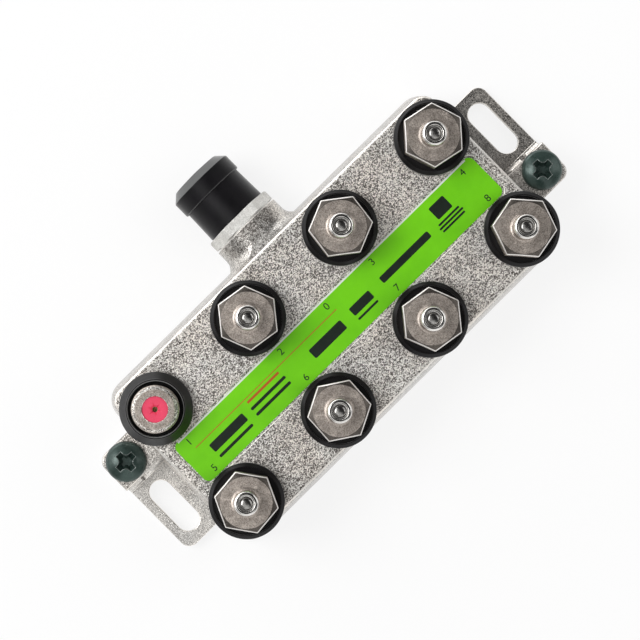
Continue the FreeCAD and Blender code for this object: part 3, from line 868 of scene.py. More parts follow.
@dataclass(frozen=True)
class Board:
    """A circuit board's green resist over its glass weave, with faint copper below."""

    name: str = "board"
    light: Color = (0.03, 0.20, 0.07)
    dark: Color = (0.015, 0.10, 0.04)
    threads_per_m: float = 400.0
    copper_mm: float = 3.5
    depth_mm: float = 0.03
    rough: float = 0.35

    def material(self) -> bpy.types.Material:
        """Builds the material.

        Returns:
            The material.
        """
        s = Shading(self.name)
        weave = s.add("ShaderNodeTexBrick", Vector=s.object, Color1=(0.2, 0.2, 0.2), Color2=(0.8, 0.8, 0.8),
                      Mortar=(0.0, 0.0, 0.0), Scale=self.threads_per_m)
        copper = s.level(s.noise(self.copper_mm, 1.0), 0.48, 0.5, 0.0, 1.0)
        tone = s.join(s.join(weave.outputs["Fac"], 0.2, "MULTIPLY"), copper)
        return s.dress(Base_Color=s.mix(tone, self.dark, self.light), Roughness=self.rough,
                       Normal=s.bump(s.join(copper, weave.outputs["Fac"]), self.depth_mm))


def finishes() -> dict[str, bpy.types.Material]:
    """Builds every finish.

    Returns:
        Materials by name; most names are the record's slots.
    """
    made = [
        CastNickel(),
        # nickel_turned paints the hex chamfers dark: painted shade.
        TurnedNickel("nickel_turned", (0.69, 0.615, 0.55), (0.21, 0.18, 0.158), 0.3, 0.5, speck_low=0.1,
                     painted_shade=0.8),
        TurnedNickel("nickel_bright", (0.88, 0.86, 0.83), (0.55, 0.53, 0.50), 0.08, 0.2,
                     ring_depth_mm=0.003),
        # The bright finish of the strip on the hex edges: a painted highlight.
        TurnedNickel("nickel_edge_highlight", (0.95, 0.92, 0.89), (0.60, 0.57, 0.54), 0.25, 0.4, 0.2, 0.004, 0.5),
        TurnedNickel("nickel_flange", (0.97, 0.96, 0.93), (0.45, 0.44, 0.41), 0.42, 0.6, 0.22, 0.02, 0.4),
        # soldered_lead is darkened so the solder dome reads dark: painted shade for its dark reflections.
        TurnedNickel("soldered_lead", (0.50, 0.49, 0.47), (0.10, 0.095, 0.09), 0.08, 0.18,
                     ring_depth_mm=0.002),
        PrintedFilm(),
        Board(),
        Moulded("print_dark", (0.010, 0.020, 0.012), (0.004, 0.009, 0.005), 0.3, 0.42, specular=0.3),
        Moulded("print_red", (0.52, 0.11, 0.02), (0.42, 0.09, 0.015), 0.3, 0.42, specular=0.3),
        # The pale finish of the strip on the label's +Y edge: a painted highlight.
        Moulded("painted_highlight_pale", (0.86, 0.88, 0.84), (0.78, 0.80, 0.76), 0.3, 0.42, specular=0.3),
        # seal_rubber paints the well rim of the open ring pale: a painted highlight.
        Moulded("seal_rubber", (0.005, 0.004, 0.005), (0.002, 0.002, 0.002), 0.28, 0.42, 0.3, 0.012,
                specular=0.25, sheen=0.16, painted_highlight=0.25),
        # cap_plastic paints the tip's chamfer and the band's step pale: painted highlights.
        Moulded("cap_plastic", (0.003, 0.002, 0.004), (0.001, 0.001, 0.0015), 0.36, 0.48, 0.2, 0.006,
                specular=0.2, sheen=0.5, painted_highlight=0.15),
        Moulded("red_plastic", (0.92, 0.075, 0.16), (0.78, 0.055, 0.12), 0.38, 0.5, 0.2, 0.01,
                specular=0.35),
        Moulded("white_plastic", (0.86, 0.86, 0.83), (0.76, 0.76, 0.72), 0.4, 0.55),
        # green_screw paints the screws' bevelled edges pale: a painted highlight.
        Moulded("green_screw", (0.047, 0.08, 0.07), (0.02, 0.036, 0.031), 0.25, 0.4, 0.5, 0.006, 0.4, 0.2,
                0.15, painted_highlight=0.22),
        Moulded("tinned_steel", (0.64, 0.64, 0.63), (0.48, 0.48, 0.47), 0.3, 0.45, 0.5, 0.01, 1.0),
        Moulded("ferrite", (0.085, 0.085, 0.09), (0.04, 0.04, 0.045), 0.6, 0.8, 0.15, 0.03),
        Moulded("copper_wire", (0.66, 0.30, 0.14), (0.50, 0.20, 0.09), 0.15, 0.3, 0.3, 0.004, 1.0, 0.5),
        Moulded("chip_ceramic", (0.44, 0.35, 0.24), (0.34, 0.26, 0.17), 0.35, 0.5),
        Moulded("contact_bronze", (0.72, 0.59, 0.36), (0.58, 0.45, 0.26), 0.2, 0.35, 0.3, 0.004, 1.0),
    ]
    return {finish.name: finish.material() for finish in made}


class Workshop:
    """Hands out finishes and ties each piece to its body."""

    def __init__(self) -> None:
        """Builds the finishes once."""
        self.finishes = finishes()

    def declare(
        self, piece: bpy.types.Object, finish: str, body: str, replaces: Sequence[str] = ()
    ) -> None:
        """Dresses a new piece and ties it to its body.

        Args:
            piece: The piece.
            finish: The finish's name.
            body: The body that it rides on.
            replaces: Solids' nodes that it stands for.
        """
        piece.data.materials.clear()
        piece.data.materials.append(self.finishes[finish])
        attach(piece, body)
        if replaces:
            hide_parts(*replaces)
        log.info("%s rides on %s in %s", piece.name, body, finish)

    def dress_node(self, node: str, finish: str) -> None:
        """Gives a solid's node its finish.

        Args:
            node: The node.
            finish: The finish's name.
        """
        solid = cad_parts[node]
        if not solid.material_slots:
            solid.data.materials.append(None)
        for slot in solid.material_slots:
            slot.material = self.finishes[finish]
        log.info("%s dressed in %s", node, finish)


# Sub-assemblies


@dataclass(frozen=True)
class Casting:
    """The housing, the threads on its barrels, its back plate and its ground screws."""

    layout: Layout
    thread_pitch: float = 0.79375
    crest_r: float = 4.72
    root_r: float = 4.51
    columns: int = 96
    rows_per_turn: int = 12
    ridge_flank: float = 0.75
    fade_turns: float = 0.6
    thread_gap: float = 0.05
    chamfer: float = 0.63
    chamfer_drop: float = 1.0
    skin: float = 0.008
    lap: float = 0.1
    mouth_chamfer: float = 0.12
    mouth_depth: float = 0.24
    mouth_lap: float = 0.6
    edge_bevel: float = 0.16
    lean: tuple[float, float] = (0.55, 0.87)
    top_from: float = 15.9
    barrel_clear: float = 5.2
    ears_from: float = 45.7
    boss_from: float = 25.0
    screw_bevel: float = 0.09

    def build(self, shop: Workshop) -> None:
        """Builds and dresses the casting's pieces.

        Args:
            shop: Hands out the finishes.
        """
        casting = softened_copy("housing", "casting", self.edge_bevel, self.shows, self.lean)
        shop.declare(casting, "nickel_casting", ROOT, ["housing"])
        low, high = self.layout.shoulder_z, self.layout.tip_z
        for number in self.layout.numbers():
            place = (*self.layout.port(number), 0.0)
            barrel = self.threaded_barrel(f"threaded_barrel_{number}", low, high, place, Lay.UPRIGHT)
            shop.declare(barrel, "nickel_bright" if number > 1 else "nickel_turned", ROOT)
        shop.dress_node("back_plate", "tinned_steel")
        for number in (1, 2):
            node = f"ground_screw_{number}"
            screw = softened_copy(node, f"clamp_screw_{number}", self.screw_bevel, lambda middle: True)
            shop.declare(screw, "green_screw", node, [node])

    def threaded_barrel(
        self, name: str, low: float, high: float, place: tuple[float, float, float], lay: Lay
    ) -> bpy.types.Object:
        """Makes a barrel's threaded skin.

        The radius is the root plus the thread's depth times a rounded ridge: the cosine of
        2 pi height / pitch - turn, squashed by a smooth step. It fades out at both ends.

        Args:
            name: The piece's name.
            low: Where the thread starts along the axis.
            high: The barrel's tip.
            place: The axis' place.
            lay: Upright or along +Y.

        Returns:
            The skin as an object.
        """
        turns = even_turns(self.columns)
        start, end = low + self.thread_gap, high - self.chamfer_drop
        rows = round((end - low) / self.thread_pitch * self.rows_per_turn)
        height = np.linspace(start, end, rows)[:, None]
        ridge = np.cos(2 * np.pi * height / self.thread_pitch - turns)
        ridge = np.clip(0.5 + self.ridge_flank * ridge, 0, 1)
        ridge = ridge * ridge * (3 - 2 * ridge)
        fade = np.clip(np.minimum(height - start, end - height) / (self.fade_turns * self.thread_pitch), 0, 1)
        wall = self.root_r + (self.crest_r - self.root_r) * ridge * fade
        bore = self.layout.insulator_r - self.skin
        tip = [
            (self.root_r - self.chamfer, high + self.skin),
            (bore + self.mouth_chamfer, high + self.skin),
            (bore, high - self.lap),
            (bore, high - self.mouth_depth),
            (bore + self.mouth_lap, high - self.mouth_depth),
            (self.root_r - self.lap, end),
            (self.root_r - self.lap, start),
        ]
        tail = np.repeat(np.array(tip)[:, None, :], len(turns), axis=1)
        radius = np.concatenate([wall, tail[..., 0]])
        level = np.concatenate([np.broadcast_to(height, wall.shape), tail[..., 1]])
        return ring_piece(name, radius, level, turns, place, lay)

    def shows(self, middle: Vector) -> bool:
        """Tells whether an edge lies on the casting's outside, away from the barrels.

        Args:
            middle: The edge's middle in millimetres.

        Returns:
            True if it does.
        """
        ports = (Vector(self.layout.port(number)) for number in self.layout.numbers())
        away = all((middle.xy - port).length > self.barrel_clear for port in ports)
        on_top = middle.z > self.top_from and away
        return on_top or abs(middle.x) > self.ears_from or middle.y > self.boss_from


@dataclass(frozen=True)
class OpenPort:
    """The one output port without a terminator: its red insulator and its free seal ring."""

    layout: Layout
    number: int = 1
    columns: int = 216
    face_rings: int = 16
    clear: float = 0.015
    face_z: float = 23.85
    rim: float = 0.08
    rim_drop: float = 0.06
    hole_r: float = 0.55
    funnel: float = 0.35
    throat: float = 0.12
    throat_drop: float = 0.21
    step: float = 0.05
    slit_count: int = 6
    slit_deg: float = 13.0
    slit_depth: float = 0.2
    slit_end_r: float = 1.2
    slit_fade: float = 14.0
    well_r: float = 1.0
    well_drop: float = 1.0
    foot_gap: float = 0.01

    def build(self, shop: Workshop) -> None:
        """Builds and dresses the port's pieces.

        Args:
            shop: Hands out the finishes.
        """
        node = f"output_insulator_{self.number}"
        shop.declare(self.insulator(), "red_plastic", ROOT, [node])
        SealRing(self.layout, self.number).build(shop)

    def insulator(self) -> bpy.types.Object:
        """Makes the insulator with its funnel and the star of slits round its pin hole.

        The face is a fan of rings. Its height drops by the slit's depth times two bells, one across each
        slit's angle and one that ends at the slit's outer radius.

        Returns:
            The insulator as an object.
        """
        turns = even_turns(self.columns)
        outer, mouth = self.layout.insulator_r - self.clear, self.hole_r + self.funnel
        fan = np.linspace(mouth + self.step, outer - self.rim, self.face_rings)
        radii = np.concatenate([[self.hole_r, self.hole_r + self.throat, mouth], fan, [outer]])
        drop = np.concatenate([[self.funnel, self.throat_drop, 0.0], np.zeros_like(fan), [self.rim_drop]])
        spacing = 360 / self.slit_count
        off = np.mod(np.degrees(turns) + spacing / 2, spacing) - spacing / 2
        across = np.exp(-((off / (self.slit_deg / 2)) ** 4))
        along = 1 / (1 + np.exp((radii - self.slit_end_r) * self.slit_fade))
        face = self.face_z - drop[:, None] - self.slit_depth * along[:, None] * across
        bottom, well = self.layout.ceiling_z + self.foot_gap, self.face_z - self.well_drop
        even = np.ones_like(turns)
        radius = np.concatenate([radii, [outer, self.well_r, self.well_r, self.hole_r]])[:, None] * even
        height = np.concatenate([face, np.array([bottom, bottom, well, well])[:, None] * even])
        return ring_piece("red_insulator", radius, height, turns, (*self.layout.port(self.number), 0.0))


@dataclass(frozen=True)
class SealRing:
    """One rubber ring round an output port, free on the open port and squeezed on the others."""

    layout: Layout
    number: int
    pressed_r: float = 7.55
    pressed_height: float = 3.1
    pressed_bulge: float = 0.3
    pressed_waist: float = 0.42
    pressed_lean: float = 0.03
    pressed_drop: float = 0.62
    pressed_lip_r: float = 6.65
    pressed_lip: float = 0.18
    pressed_floor: float = 2.15
    free_r: float = 7.35
    free_height: float = 4.6
    free_top_r: float = 5.85
    free_well_r: float = 5.5
    free_foot_in: float = 0.15
    free_lip_out: float = 0.14
    free_lip_drop: float = 0.4
    well_floor: float = 1.62
    well_draft: float = 0.05
    shoulder: float = 1.6
    edge: float = 0.16
    # Depth of the band at the top of the well's rim that gets a painted highlight.
    painted_highlight: float = 0.2
    columns: int = 112

    def build(self, shop: Workshop) -> None:
        """Builds and dresses the ring.

        Args:
            shop: Hands out the finishes.
        """
        turns = even_turns(self.columns)
        corners = self.free_corners() if self.number == 1 else self.pressed_corners()
        x, y = self.layout.port(self.number)
        ring = turned_piece(f"rubber_ring_{self.number}", spread(corners, turns), turns,
                            (x, y, self.layout.top_z), steps=5)
        # The top of the open ring's well rim gets a painted highlight.
        rim_z = self.layout.top_z + self.free_height - self.painted_highlight
        rim_r = self.free_well_r + self.edge
        mark_painted_light(ring, lambda middle, _: (middle[:, 2] > rim_z)
                  & (np.hypot(middle[:, 0] - x, middle[:, 1] - y) < rim_r))
        shop.declare(ring, "seal_rubber", ROOT, [f"seal_ring_{self.number}"])

    def free_corners(self) -> list[Corner]:
        """Gives the outline of the ring as it stands on the open port.

        Returns:
            The corners.
        """
        e = self.edge
        return [
            (self.layout.shoulder_r, 0.0, 0.0),
            (self.free_r - self.free_foot_in, 0.0, 0.0),
            (self.free_r, self.shoulder, 1.0),
            (self.free_top_r + self.free_lip_out, self.free_height - self.free_lip_drop, 0.3),
            (self.free_top_r, self.free_height, e * 0.8),
            (self.free_well_r, self.free_height, e),
            (self.free_well_r - self.well_draft, self.well_floor, e),
            (self.layout.shoulder_r, self.well_floor, 0.0),
        ]

    def pressed_corners(self) -> list[Corner]:
        """Gives the outline of the squeezed ring: a bulge under a wide sloping shoulder.

        Returns:
            The corners.
        """
        top = self.pressed_height
        return [
            (self.layout.shoulder_r, 0.0, 0.0),
            (self.pressed_r - self.pressed_bulge, 0.0, 0.05),
            (self.pressed_r, top * self.pressed_waist, 0.9),
            (self.pressed_r - self.pressed_lean, top - self.pressed_drop, 0.25),
            (self.pressed_lip_r + self.pressed_lip, top, 0.12),
            (self.pressed_lip_r, top, 0.05),
            (self.pressed_lip_r, self.pressed_floor, 0.05),
            (self.layout.shoulder_r, self.pressed_floor, 0.0),
        ]


@dataclass(frozen=True)
class Terminator:
    """One screwed-on load: hex shell with its polished neck, bead, and resistor with its soldered dome."""

    layout: Layout
    number: int
    turn_deg: float
    flats: float = 11.0
    low_z: float = 18.7
    high_z: float = 25.5
    face_r: float = 5.1
    edge: float = 0.2
    chamfer_deg: float = 30.0
    chamfer_reach: float = 1.0
    chamfer_spread: float = 0.085
    bore_r: float = 4.8
    bore_top_z: float = 24.4
    foot_r: float = 2.95
    foot: float = 0.3
    neck_r: float = 2.4
    neck_top_z: float = 29.7
    lip: float = 0.45
    neck_bore_r: float = 1.6
    neck_bore_top_z: float = 28.0
    cup_r: float = 1.65
    cup_floor_z: float = 28.6
    lead_r: float = 0.4
    lead_gap: float = 0.05
    lead_end_z: float = 19.6
    resistor_r: float = 1.15
    resistor_length: float = 2.2
    dome_r: float = 1.3
    dome_height: float = 1.09
    dome_gap: float = 0.014
    dome_edge: float = 0.02
    dome_shoulder: float = 0.15
    skin: float = 0.015
    polish: float = 0.012
    polish_lap: float = 0.1
    polish_flare: float = 0.3
    polish_draft: float = 0.02
    polish_inner_r: float = 0.9
    neck_columns: int = 80
    lead_columns: int = 64

    def build(self, shop: Workshop) -> None:
        """Builds and dresses the terminator's pieces.

        Args:
            shop: Hands out the finishes.
        """
        own = f"terminator_{self.number}"
        shell, core = f"{own}_shell", f"{own}_core"
        shop.declare(self.hex_shell(), "nickel_turned", shell, [shell])
        # The bright strip on the hex edge is a painted highlight.
        shop.declare(self.painted_edge_highlight(), "nickel_edge_highlight", shell)
        shop.declare(self.neck_skin(), "nickel_bright", shell)
        shop.declare(self.lead(), "soldered_lead", core, [f"{own}_resistor"])
        shop.dress_node(f"{own}_bead", "white_plastic")

    def place(self) -> tuple[float, float, float]:
        """Gives where the terminator's axis stands."""
        return (*self.layout.port(self.number), 0.0)

    def hexagon(self) -> tuple[np.ndarray, np.ndarray, np.ndarray, np.ndarray]:
        """Works out the hexagon in every direction.

        Returns:
            The directions, the flats' reach, the reach inside the narrow edge, and how far the chamfer falls
            there.
        """
        turns = hex_turns(self.turn_deg)
        reach = hex_reach(turns, self.turn_deg, self.flats)
        rim = reach - self.edge
        return turns, reach, rim, (rim - self.face_r) * math.tan(math.radians(self.chamfer_deg))

    def hex_shell(self) -> bpy.types.Object:
        """Makes the shell.

        Each row of the hexagon takes its reach in every direction. The chamfer's height falls with the
        tangent of its angle from the face's rim outward, which gives the arcs on the flats, and a narrow 45
        degree edge follows it. The chamfer's faces carry 1 in the attribute "edge", which their finish
        turns into painted shade.

        Returns:
            The shell as an object.
        """
        turns, reach, rim, fall = self.hexagon()
        hole_r = self.lead_r + self.lead_gap
        neck = [
            (hole_r, self.cup_floor_z, 0.0),
            (self.cup_r, self.cup_floor_z, 0.12),
            (self.cup_r, self.neck_top_z, 0.12),
            (self.neck_r, self.neck_top_z, self.lip),
            (self.neck_r, self.high_z + self.foot, 0.45),
            (self.foot_r, self.high_z + self.foot, 0.1),
            (self.foot_r, self.high_z, 0.04),
            (self.face_r, self.high_z, 0.1),
        ]
        inside = [
            (self.face_r - 0.1, self.low_z, 0.0),
            (self.bore_r, self.low_z, 0.0),
            (self.bore_r, self.bore_top_z, 0.0),
            (self.neck_bore_r, self.bore_top_z, 0.0),
            (self.neck_bore_r, self.neck_bore_top_z, 0.0),
            (hole_r, self.neck_bore_top_z, 0.0),
        ]
        upper, upper_round = spread(neck, turns)
        lower, lower_round = spread(inside, turns)
        belt = np.stack([
            np.stack([rim, self.high_z - fall], -1),
            np.stack([reach, self.high_z - fall - self.edge], -1),
            np.stack([reach, self.low_z + fall + self.edge], -1),
            np.stack([rim, self.low_z + fall], -1),
        ])
        outline = np.concatenate([upper, belt, lower])
        rounds = np.concatenate([upper_round, [0.04] * 4, lower_round])
        shell = turned_piece(f"hex_shell_{self.number}", (outline, rounds), turns, self.place(), steps=5)
        # The chamfer faces are marked for painted shade.
        slope = math.cos(math.radians(self.chamfer_deg))
        mark_painted_light(shell, lambda middle, facing: (middle[:, 2] < self.high_z)
                  & (middle[:, 2] > self.high_z - self.chamfer_reach)
                  & (abs(facing[:, 2] - slope) < self.chamfer_spread))
        return shell

    def painted_edge_highlight(self) -> bpy.types.Object:
        """Makes a narrow bright strip along the hexagon's upper edge, a hair outside the shell: a painted
        highlight.

        Returns:
            The strip as an object.
        """
        turns, reach, rim, fall = self.hexagon()
        top, skin = self.high_z - fall, self.skin
        radius = np.stack([rim - 2 * skin, rim, reach + skin, reach + skin, rim, rim - 2 * skin])
        level = np.stack([top - skin, top + skin, top - self.edge + skin, top - self.edge - 2 * skin,
                          top - self.edge, top - 4 * skin])
        return ring_piece(f"painted_edge_highlight_{self.number}", radius[::-1], level[::-1], turns, self.place())

    def neck_skin(self) -> bpy.types.Object:
        """Makes the polished skin of the neck and its cup, a hair outside the shell.

        Returns:
            The skin as an object.
        """
        turns = even_turns(self.neck_columns)
        skin, lap, flare_r = self.polish, self.polish_lap, self.neck_r + self.polish_flare
        floor, foot = self.cup_floor_z, self.high_z + self.foot
        corners = [
            (self.polish_inner_r, floor + skin, 0.0),
            (self.cup_r - skin, floor + skin, 0.12),
            (self.cup_r - skin, self.neck_top_z, 0.12),
            (self.neck_r + skin, self.neck_top_z, self.lip),
            (self.neck_r + skin, foot + 2 * lap, 0.25),
            (flare_r, foot + skin, 0.05),
            (flare_r - self.polish_draft, foot - lap, 0.0),
            (self.neck_r - lap, foot - lap, 0.0),
            (self.neck_r - 2 * lap, self.neck_top_z - 4 * lap, 0.0),
            (self.cup_r + lap, self.neck_top_z - 4 * lap, 0.0),
            (self.cup_r + lap, floor - lap, 0.0),
            (self.polish_inner_r, floor - lap, 0.0),
        ]
        name = f"polished_neck_{self.number}"
        return turned_piece(name, spread(corners, turns), turns, self.place(), steps=6)

    def lead(self) -> bpy.types.Object:
        """Makes the resistor, its lead below, and the solder dome in the cup.

        Returns:
            The resistor as an object.
        """
        turns = even_turns(self.lead_columns)
        top = self.neck_bore_top_z - self.lead_gap
        low = top - self.resistor_length
        floor = self.cup_floor_z + self.dome_gap
        dome_top = self.cup_floor_z + self.dome_height
        corners = [
            (0.0, self.lead_end_z, 0.0),
            (self.lead_r, self.lead_end_z, 0.12),
            (self.lead_r, low, 0.0),
            (self.resistor_r, low, 0.2),
            (self.resistor_r, top, 0.2),
            (self.lead_r, top, 0.0),
            (self.lead_r, floor, 0.0),
            (self.dome_r, floor, 0.05),
            (self.dome_r - self.dome_edge, dome_top - self.dome_shoulder * self.dome_height, 0.6),
            (0.0, dome_top, 0.0),
        ]
        name = f"soldered_lead_{self.number}"
        return turned_piece(name, spread(corners, turns), turns, self.place(), steps=7)


@dataclass(frozen=True)
class InputPort:
    """The input port: hex-flanged threaded barrel and its push-on cap."""

    layout: Layout
    flats: float = 13.35
    corner_round: float = 0.05
    rim_inset: float = 0.06
    chamfer: float = 0.35
    tip_chamfer: float = 0.65
    stem_r: float = 5.4
    boss_r: float = 7.75
    seat_land: float = 0.9
    seat_gap: float = 0.2
    seam: float = 0.1
    cap_columns: int = 128
    cap_length: float = 12.2
    cap_foot_r: float = 6.79
    cap_neck_r: float = 6.6
    cap_rim_r: float = 7.09
    cap_rim_start: float = 7.0
    cap_step: float = 0.02
    cap_rim_end: float = 10.35
    cap_tip_r: float = 5.45
    cap_clear: float = 0.3
    cap_end: float = 2.6
    cap_dome: float = 0.3
    dimple_r: float = 1.5
    dimple_floor_r: float = 1.3
    dimple: float = 0.2
    gate_r: float = 0.45
    gate_tip_r: float = 0.35
    gate_short: float = 0.06
    step_highlight: float = 0.35
    step_reach: tuple[float, float] = (0.02, 0.22)
    tip_lean: tuple[float, float] = (0.3, 0.9)

    def build(self, shop: Workshop) -> None:
        """Builds and dresses the port's pieces.

        Args:
            shop: Hands out the finishes.
        """
        shop.declare(self.connector(), "nickel_flange", ROOT, ["input_connector"])
        low, high = self.layout.hex_end_y, self.layout.input_tip_y
        thread = Casting(self.layout).threaded_barrel("input_thread", low, high,
                                                      (0.0, 0.0, self.layout.input_z), Lay.TO_INPUT)
        shop.declare(thread, "nickel_bright", ROOT)
        shop.declare(self.cap(), "cap_plastic", "input_cap", ["input_cap"])
        shop.dress_node("input_insulator", "white_plastic")
        shop.dress_node("input_contact", "contact_bronze")

    def connector(self) -> bpy.types.Object:
        """Makes the stem, hex flange and barrel.

        The flange's outer face ends where a 45 degree cone cuts the hexagon's corners: the face reaches to
        the smaller of the cone's rim and the hexagon, and the belt starts as far back as it is further out.

        Returns:
            The connector as an object.
        """
        turns = hex_turns(0.0)
        reach = hex_reach(turns, 0.0, self.flats, self.corner_round)
        rim = np.minimum(reach - self.rim_inset, self.flats / math.sqrt(3) - self.chamfer)
        drop = reach - rim
        start, end = self.layout.hex_start_y, self.layout.hex_end_y
        bore, barrel, tip = self.layout.insulator_r, self.layout.barrel_r, self.tip_chamfer
        before, before_round = spread(
            [
                (bore, self.layout.stem_start_y, 0.0),
                (self.stem_r, self.layout.stem_start_y, 0.0),
                (self.stem_r, start - self.seat_gap, 0.0),
                (self.boss_r - self.seat_land, start - self.seat_gap, 0.0),
                (self.boss_r - self.seat_land, start + self.seam, 0.0),
            ],
            turns,
        )
        after, after_round = spread(
            [
                (barrel, end, 0.0),
                (barrel, self.layout.input_tip_y - tip, 0.0),
                (barrel - tip, self.layout.input_tip_y, 0.0),
                (bore, self.layout.input_tip_y, 0.0),
            ],
            turns,
        )
        belt = np.stack([
            np.stack([reach, np.full_like(rim, start + self.seam)], -1),
            np.stack([reach, end - drop], -1),
            np.stack([rim, np.full_like(rim, end)], -1),
        ])
        outline = np.concatenate([before, belt, after])
        rounds = np.concatenate([before_round, [0.1, 0.05, 0.05], after_round])
        place = (0.0, 0.0, self.layout.input_z)
        return turned_piece("input_flange", (outline, rounds), turns, place, Lay.TO_INPUT)

    def cap(self) -> bpy.types.Object:
        """Makes the cap: a tapered sleeve, a raised band and a chamfered closed end with a moulding gate.

        Returns:
            The cap as an object.
        """
        turns = even_turns(self.cap_columns)
        bore = self.layout.barrel_r + self.cap_clear
        depth = self.cap_length - self.cap_end
        corners = [
            (bore, 0.0, 0.1),
            (self.cap_foot_r, 0.0, 0.2),
            (self.cap_neck_r, self.cap_rim_start, 0.12),
            (self.cap_rim_r, self.cap_rim_start + self.cap_step, 0.25),
            (self.cap_rim_r, self.cap_rim_end, 0.35),
            (self.cap_tip_r, self.cap_length - self.cap_dome, 0.35),
            (self.dimple_r, self.cap_length, 0.05),
            (self.dimple_floor_r, self.cap_length - self.dimple, 0.05),
            (self.gate_r, self.cap_length - self.dimple, 0.03),
            (self.gate_tip_r, self.cap_length - self.gate_short, 0.03),
            (0.0, self.cap_length - self.gate_short, 0.0),
            (0.0, depth, 0.0),
            (bore, depth, 0.3),
        ]
        place = (0.0, self.layout.hex_end_y, self.layout.input_z)
        cap = turned_piece("push_on_cap", spread(corners, turns), turns, place, Lay.TO_INPUT, 6)
        # The tip's chamfer and the band's step are painted pale: painted highlights.
        mark_painted_light(cap, self.cap_highlights)
        return cap

    def cap_highlights(self, middle: np.ndarray, facing: np.ndarray) -> np.ndarray:
        """Gives each of the cap's faces its share of painted highlight: 1 on the tip's chamfer, less on the
        band's step.

        Args:
            middle: The faces' middles in millimetres, (m, 3).
            facing: Their outward directions, (m, 3).

        Returns:
            The shares, (m,).
        """
        along = middle[:, 1] - self.layout.hex_end_y
        leaning = (facing[:, 1] > self.tip_lean[0]) & (facing[:, 1] < self.tip_lean[1])
        near, far = (self.cap_rim_start + reach for reach in self.step_reach)
        on_step = (along > near) & (along < far)
        return np.where(along > self.cap_rim_end, leaning, on_step * self.step_highlight)


class Ink(Enum):
    """The print's inks, by their finishes."""

    DARK = "print_dark"
    RED = "print_red"
    # Not an ink: the pale strip on the label's edge is a painted highlight.
    PAINTED_HIGHLIGHT = "painted_highlight_pale"


@dataclass(frozen=True)
class LabelPrint:
    """The label's print: port numbers, plain bars and one thin line, all without words, and a pale strip on
    its +Y edge that is a painted highlight.
    """

    face_z: float = 16.30
    ink_height: float = 0.012
    bar_corner: float = 0.3
    strip_corner: float = 0.06
    digit_size: float = 2.1
    digits: tuple[tuple[str, float, float], ...] = (
        ("1", -38.1, 2.75), ("2", -12.7, 2.75), ("3", 12.6, 2.75), ("4", 37.8, 2.75),
        ("5", -38.1, -4.35), ("6", -12.7, -4.35), ("7", 12.6, -4.35), ("8", 37.8, -4.35), ("0", 0.0, 2.75),
    )
    bars: tuple[tuple[float, float, float, float], ...] = (
        (-31.25, -1.35, 9.1, 1.9),
        (-31.25, -3.55, 9.1, 0.62),
        (-20.2, -1.3, 9.4, 0.62),
        (-20.2, -2.8, 9.4, 0.62),
        (-4.35, -2.0, 8.7, 2.2),
        (5.4, -1.6, 5.4, 1.9),
        (5.4, -3.5, 5.4, 0.45),
        (17.95, -1.2, 13.3, 1.5),
        (29.8, 0.9, 3.9, 3.0),
        (29.8, -1.45, 5.6, 0.42),
        (29.8, -2.2, 6.4, 0.42),
        (29.8, -2.95, 6.0, 0.42),
    )
    line: tuple[float, float, float, float] = (-18.5, 1.05, 39.0, 0.16)
    note: tuple[float, float, float, float] = (-20.2, 0.2, 8.6, 0.5)
    # A pale strip along the label's +Y edge: a painted highlight, not print.
    highlight_strip: tuple[float, float, float, float] = (0.0, 4.2, 79.6, 0.34)

    def build(self, shop: Workshop) -> None:
        """Builds and dresses the label and its print.

        Args:
            shop: Hands out the finishes.
        """
        shop.dress_node("label", "green_label")
        low, top = self.face_z - self.ink_height, self.face_z + self.ink_height
        for count, bar in enumerate(self.bars, 1):
            corner = min(self.bar_corner, bar[3] / 2 - 0.01)
            plate = plan_plate(f"print_bar_{count}", bar_outline(*bar, corner), low, top)
            shop.declare(plate, Ink.DARK.value, ROOT)
        strips = (("print_line", self.line, Ink.RED), ("print_note", self.note, Ink.RED),
                  ("painted_label_highlight", self.highlight_strip, Ink.PAINTED_HIGHLIGHT))
        for name, strip, ink in strips:
            plate = plan_plate(name, bar_outline(*strip, self.strip_corner), low, top)
            shop.declare(plate, ink.value, ROOT)
        for text, x, y in self.digits:
            shop.declare(self.digit(text, x, y), Ink.DARK.value, ROOT)

    def digit(self, text: str, x: float, y: float) -> bpy.types.Object:
        """Makes one port number.

        Args:
            text: The digit.
            x: Middle along X.
            y: Middle along Y.

        Returns:
            The number as an object.
        """
        curve = bpy.data.curves.new(f"number_{text}", "FONT")
        curve.body = text
        curve.size = self.digit_size * MM
        curve.extrude = self.ink_height * MM
        curve.align_x, curve.align_y = "CENTER", "CENTER"
        writer = bpy.data.objects.new("writer", curve)
        bpy.context.scene.collection.objects.link(writer)
        bpy.context.view_layer.update()
        mesh = bpy.data.meshes.new_from_object(writer.evaluated_get(bpy.context.evaluated_depsgraph_get()))
        bpy.data.objects.remove(writer)
        mesh.name = f"port_number_{text}"
        mesh.transform(Matrix.Translation(Vector((x, y, self.face_z)) * MM))
        tidy_mesh(mesh)
        return new_object(mesh)


@dataclass(frozen=True)
class Electronics:
    """What is soldered inside, kept as the solids have it."""

    layout: Layout
    finishes: tuple[tuple[str, str], ...] = (
        ("circuit_board", "board"),
        ("ferrite_cores", "ferrite"),
        ("core_windings", "copper_wire"),
        ("power_choke", "ferrite"),
        ("chip_capacitors", "chip_ceramic"),
    )

    def build(self, shop: Workshop) -> None:
        """Dresses the board, what is on it, and the ports' insulators and contacts.

        Args:
            shop: Hands out the finishes.
        """
        for node, finish in self.finishes:
            shop.dress_node(node, finish)
        for number in self.layout.numbers():
            shop.dress_node(f"output_contact_{number}", "contact_bronze")
            if number > 1:
                shop.dress_node(f"output_insulator_{number}", "white_plastic")


# Camera and light


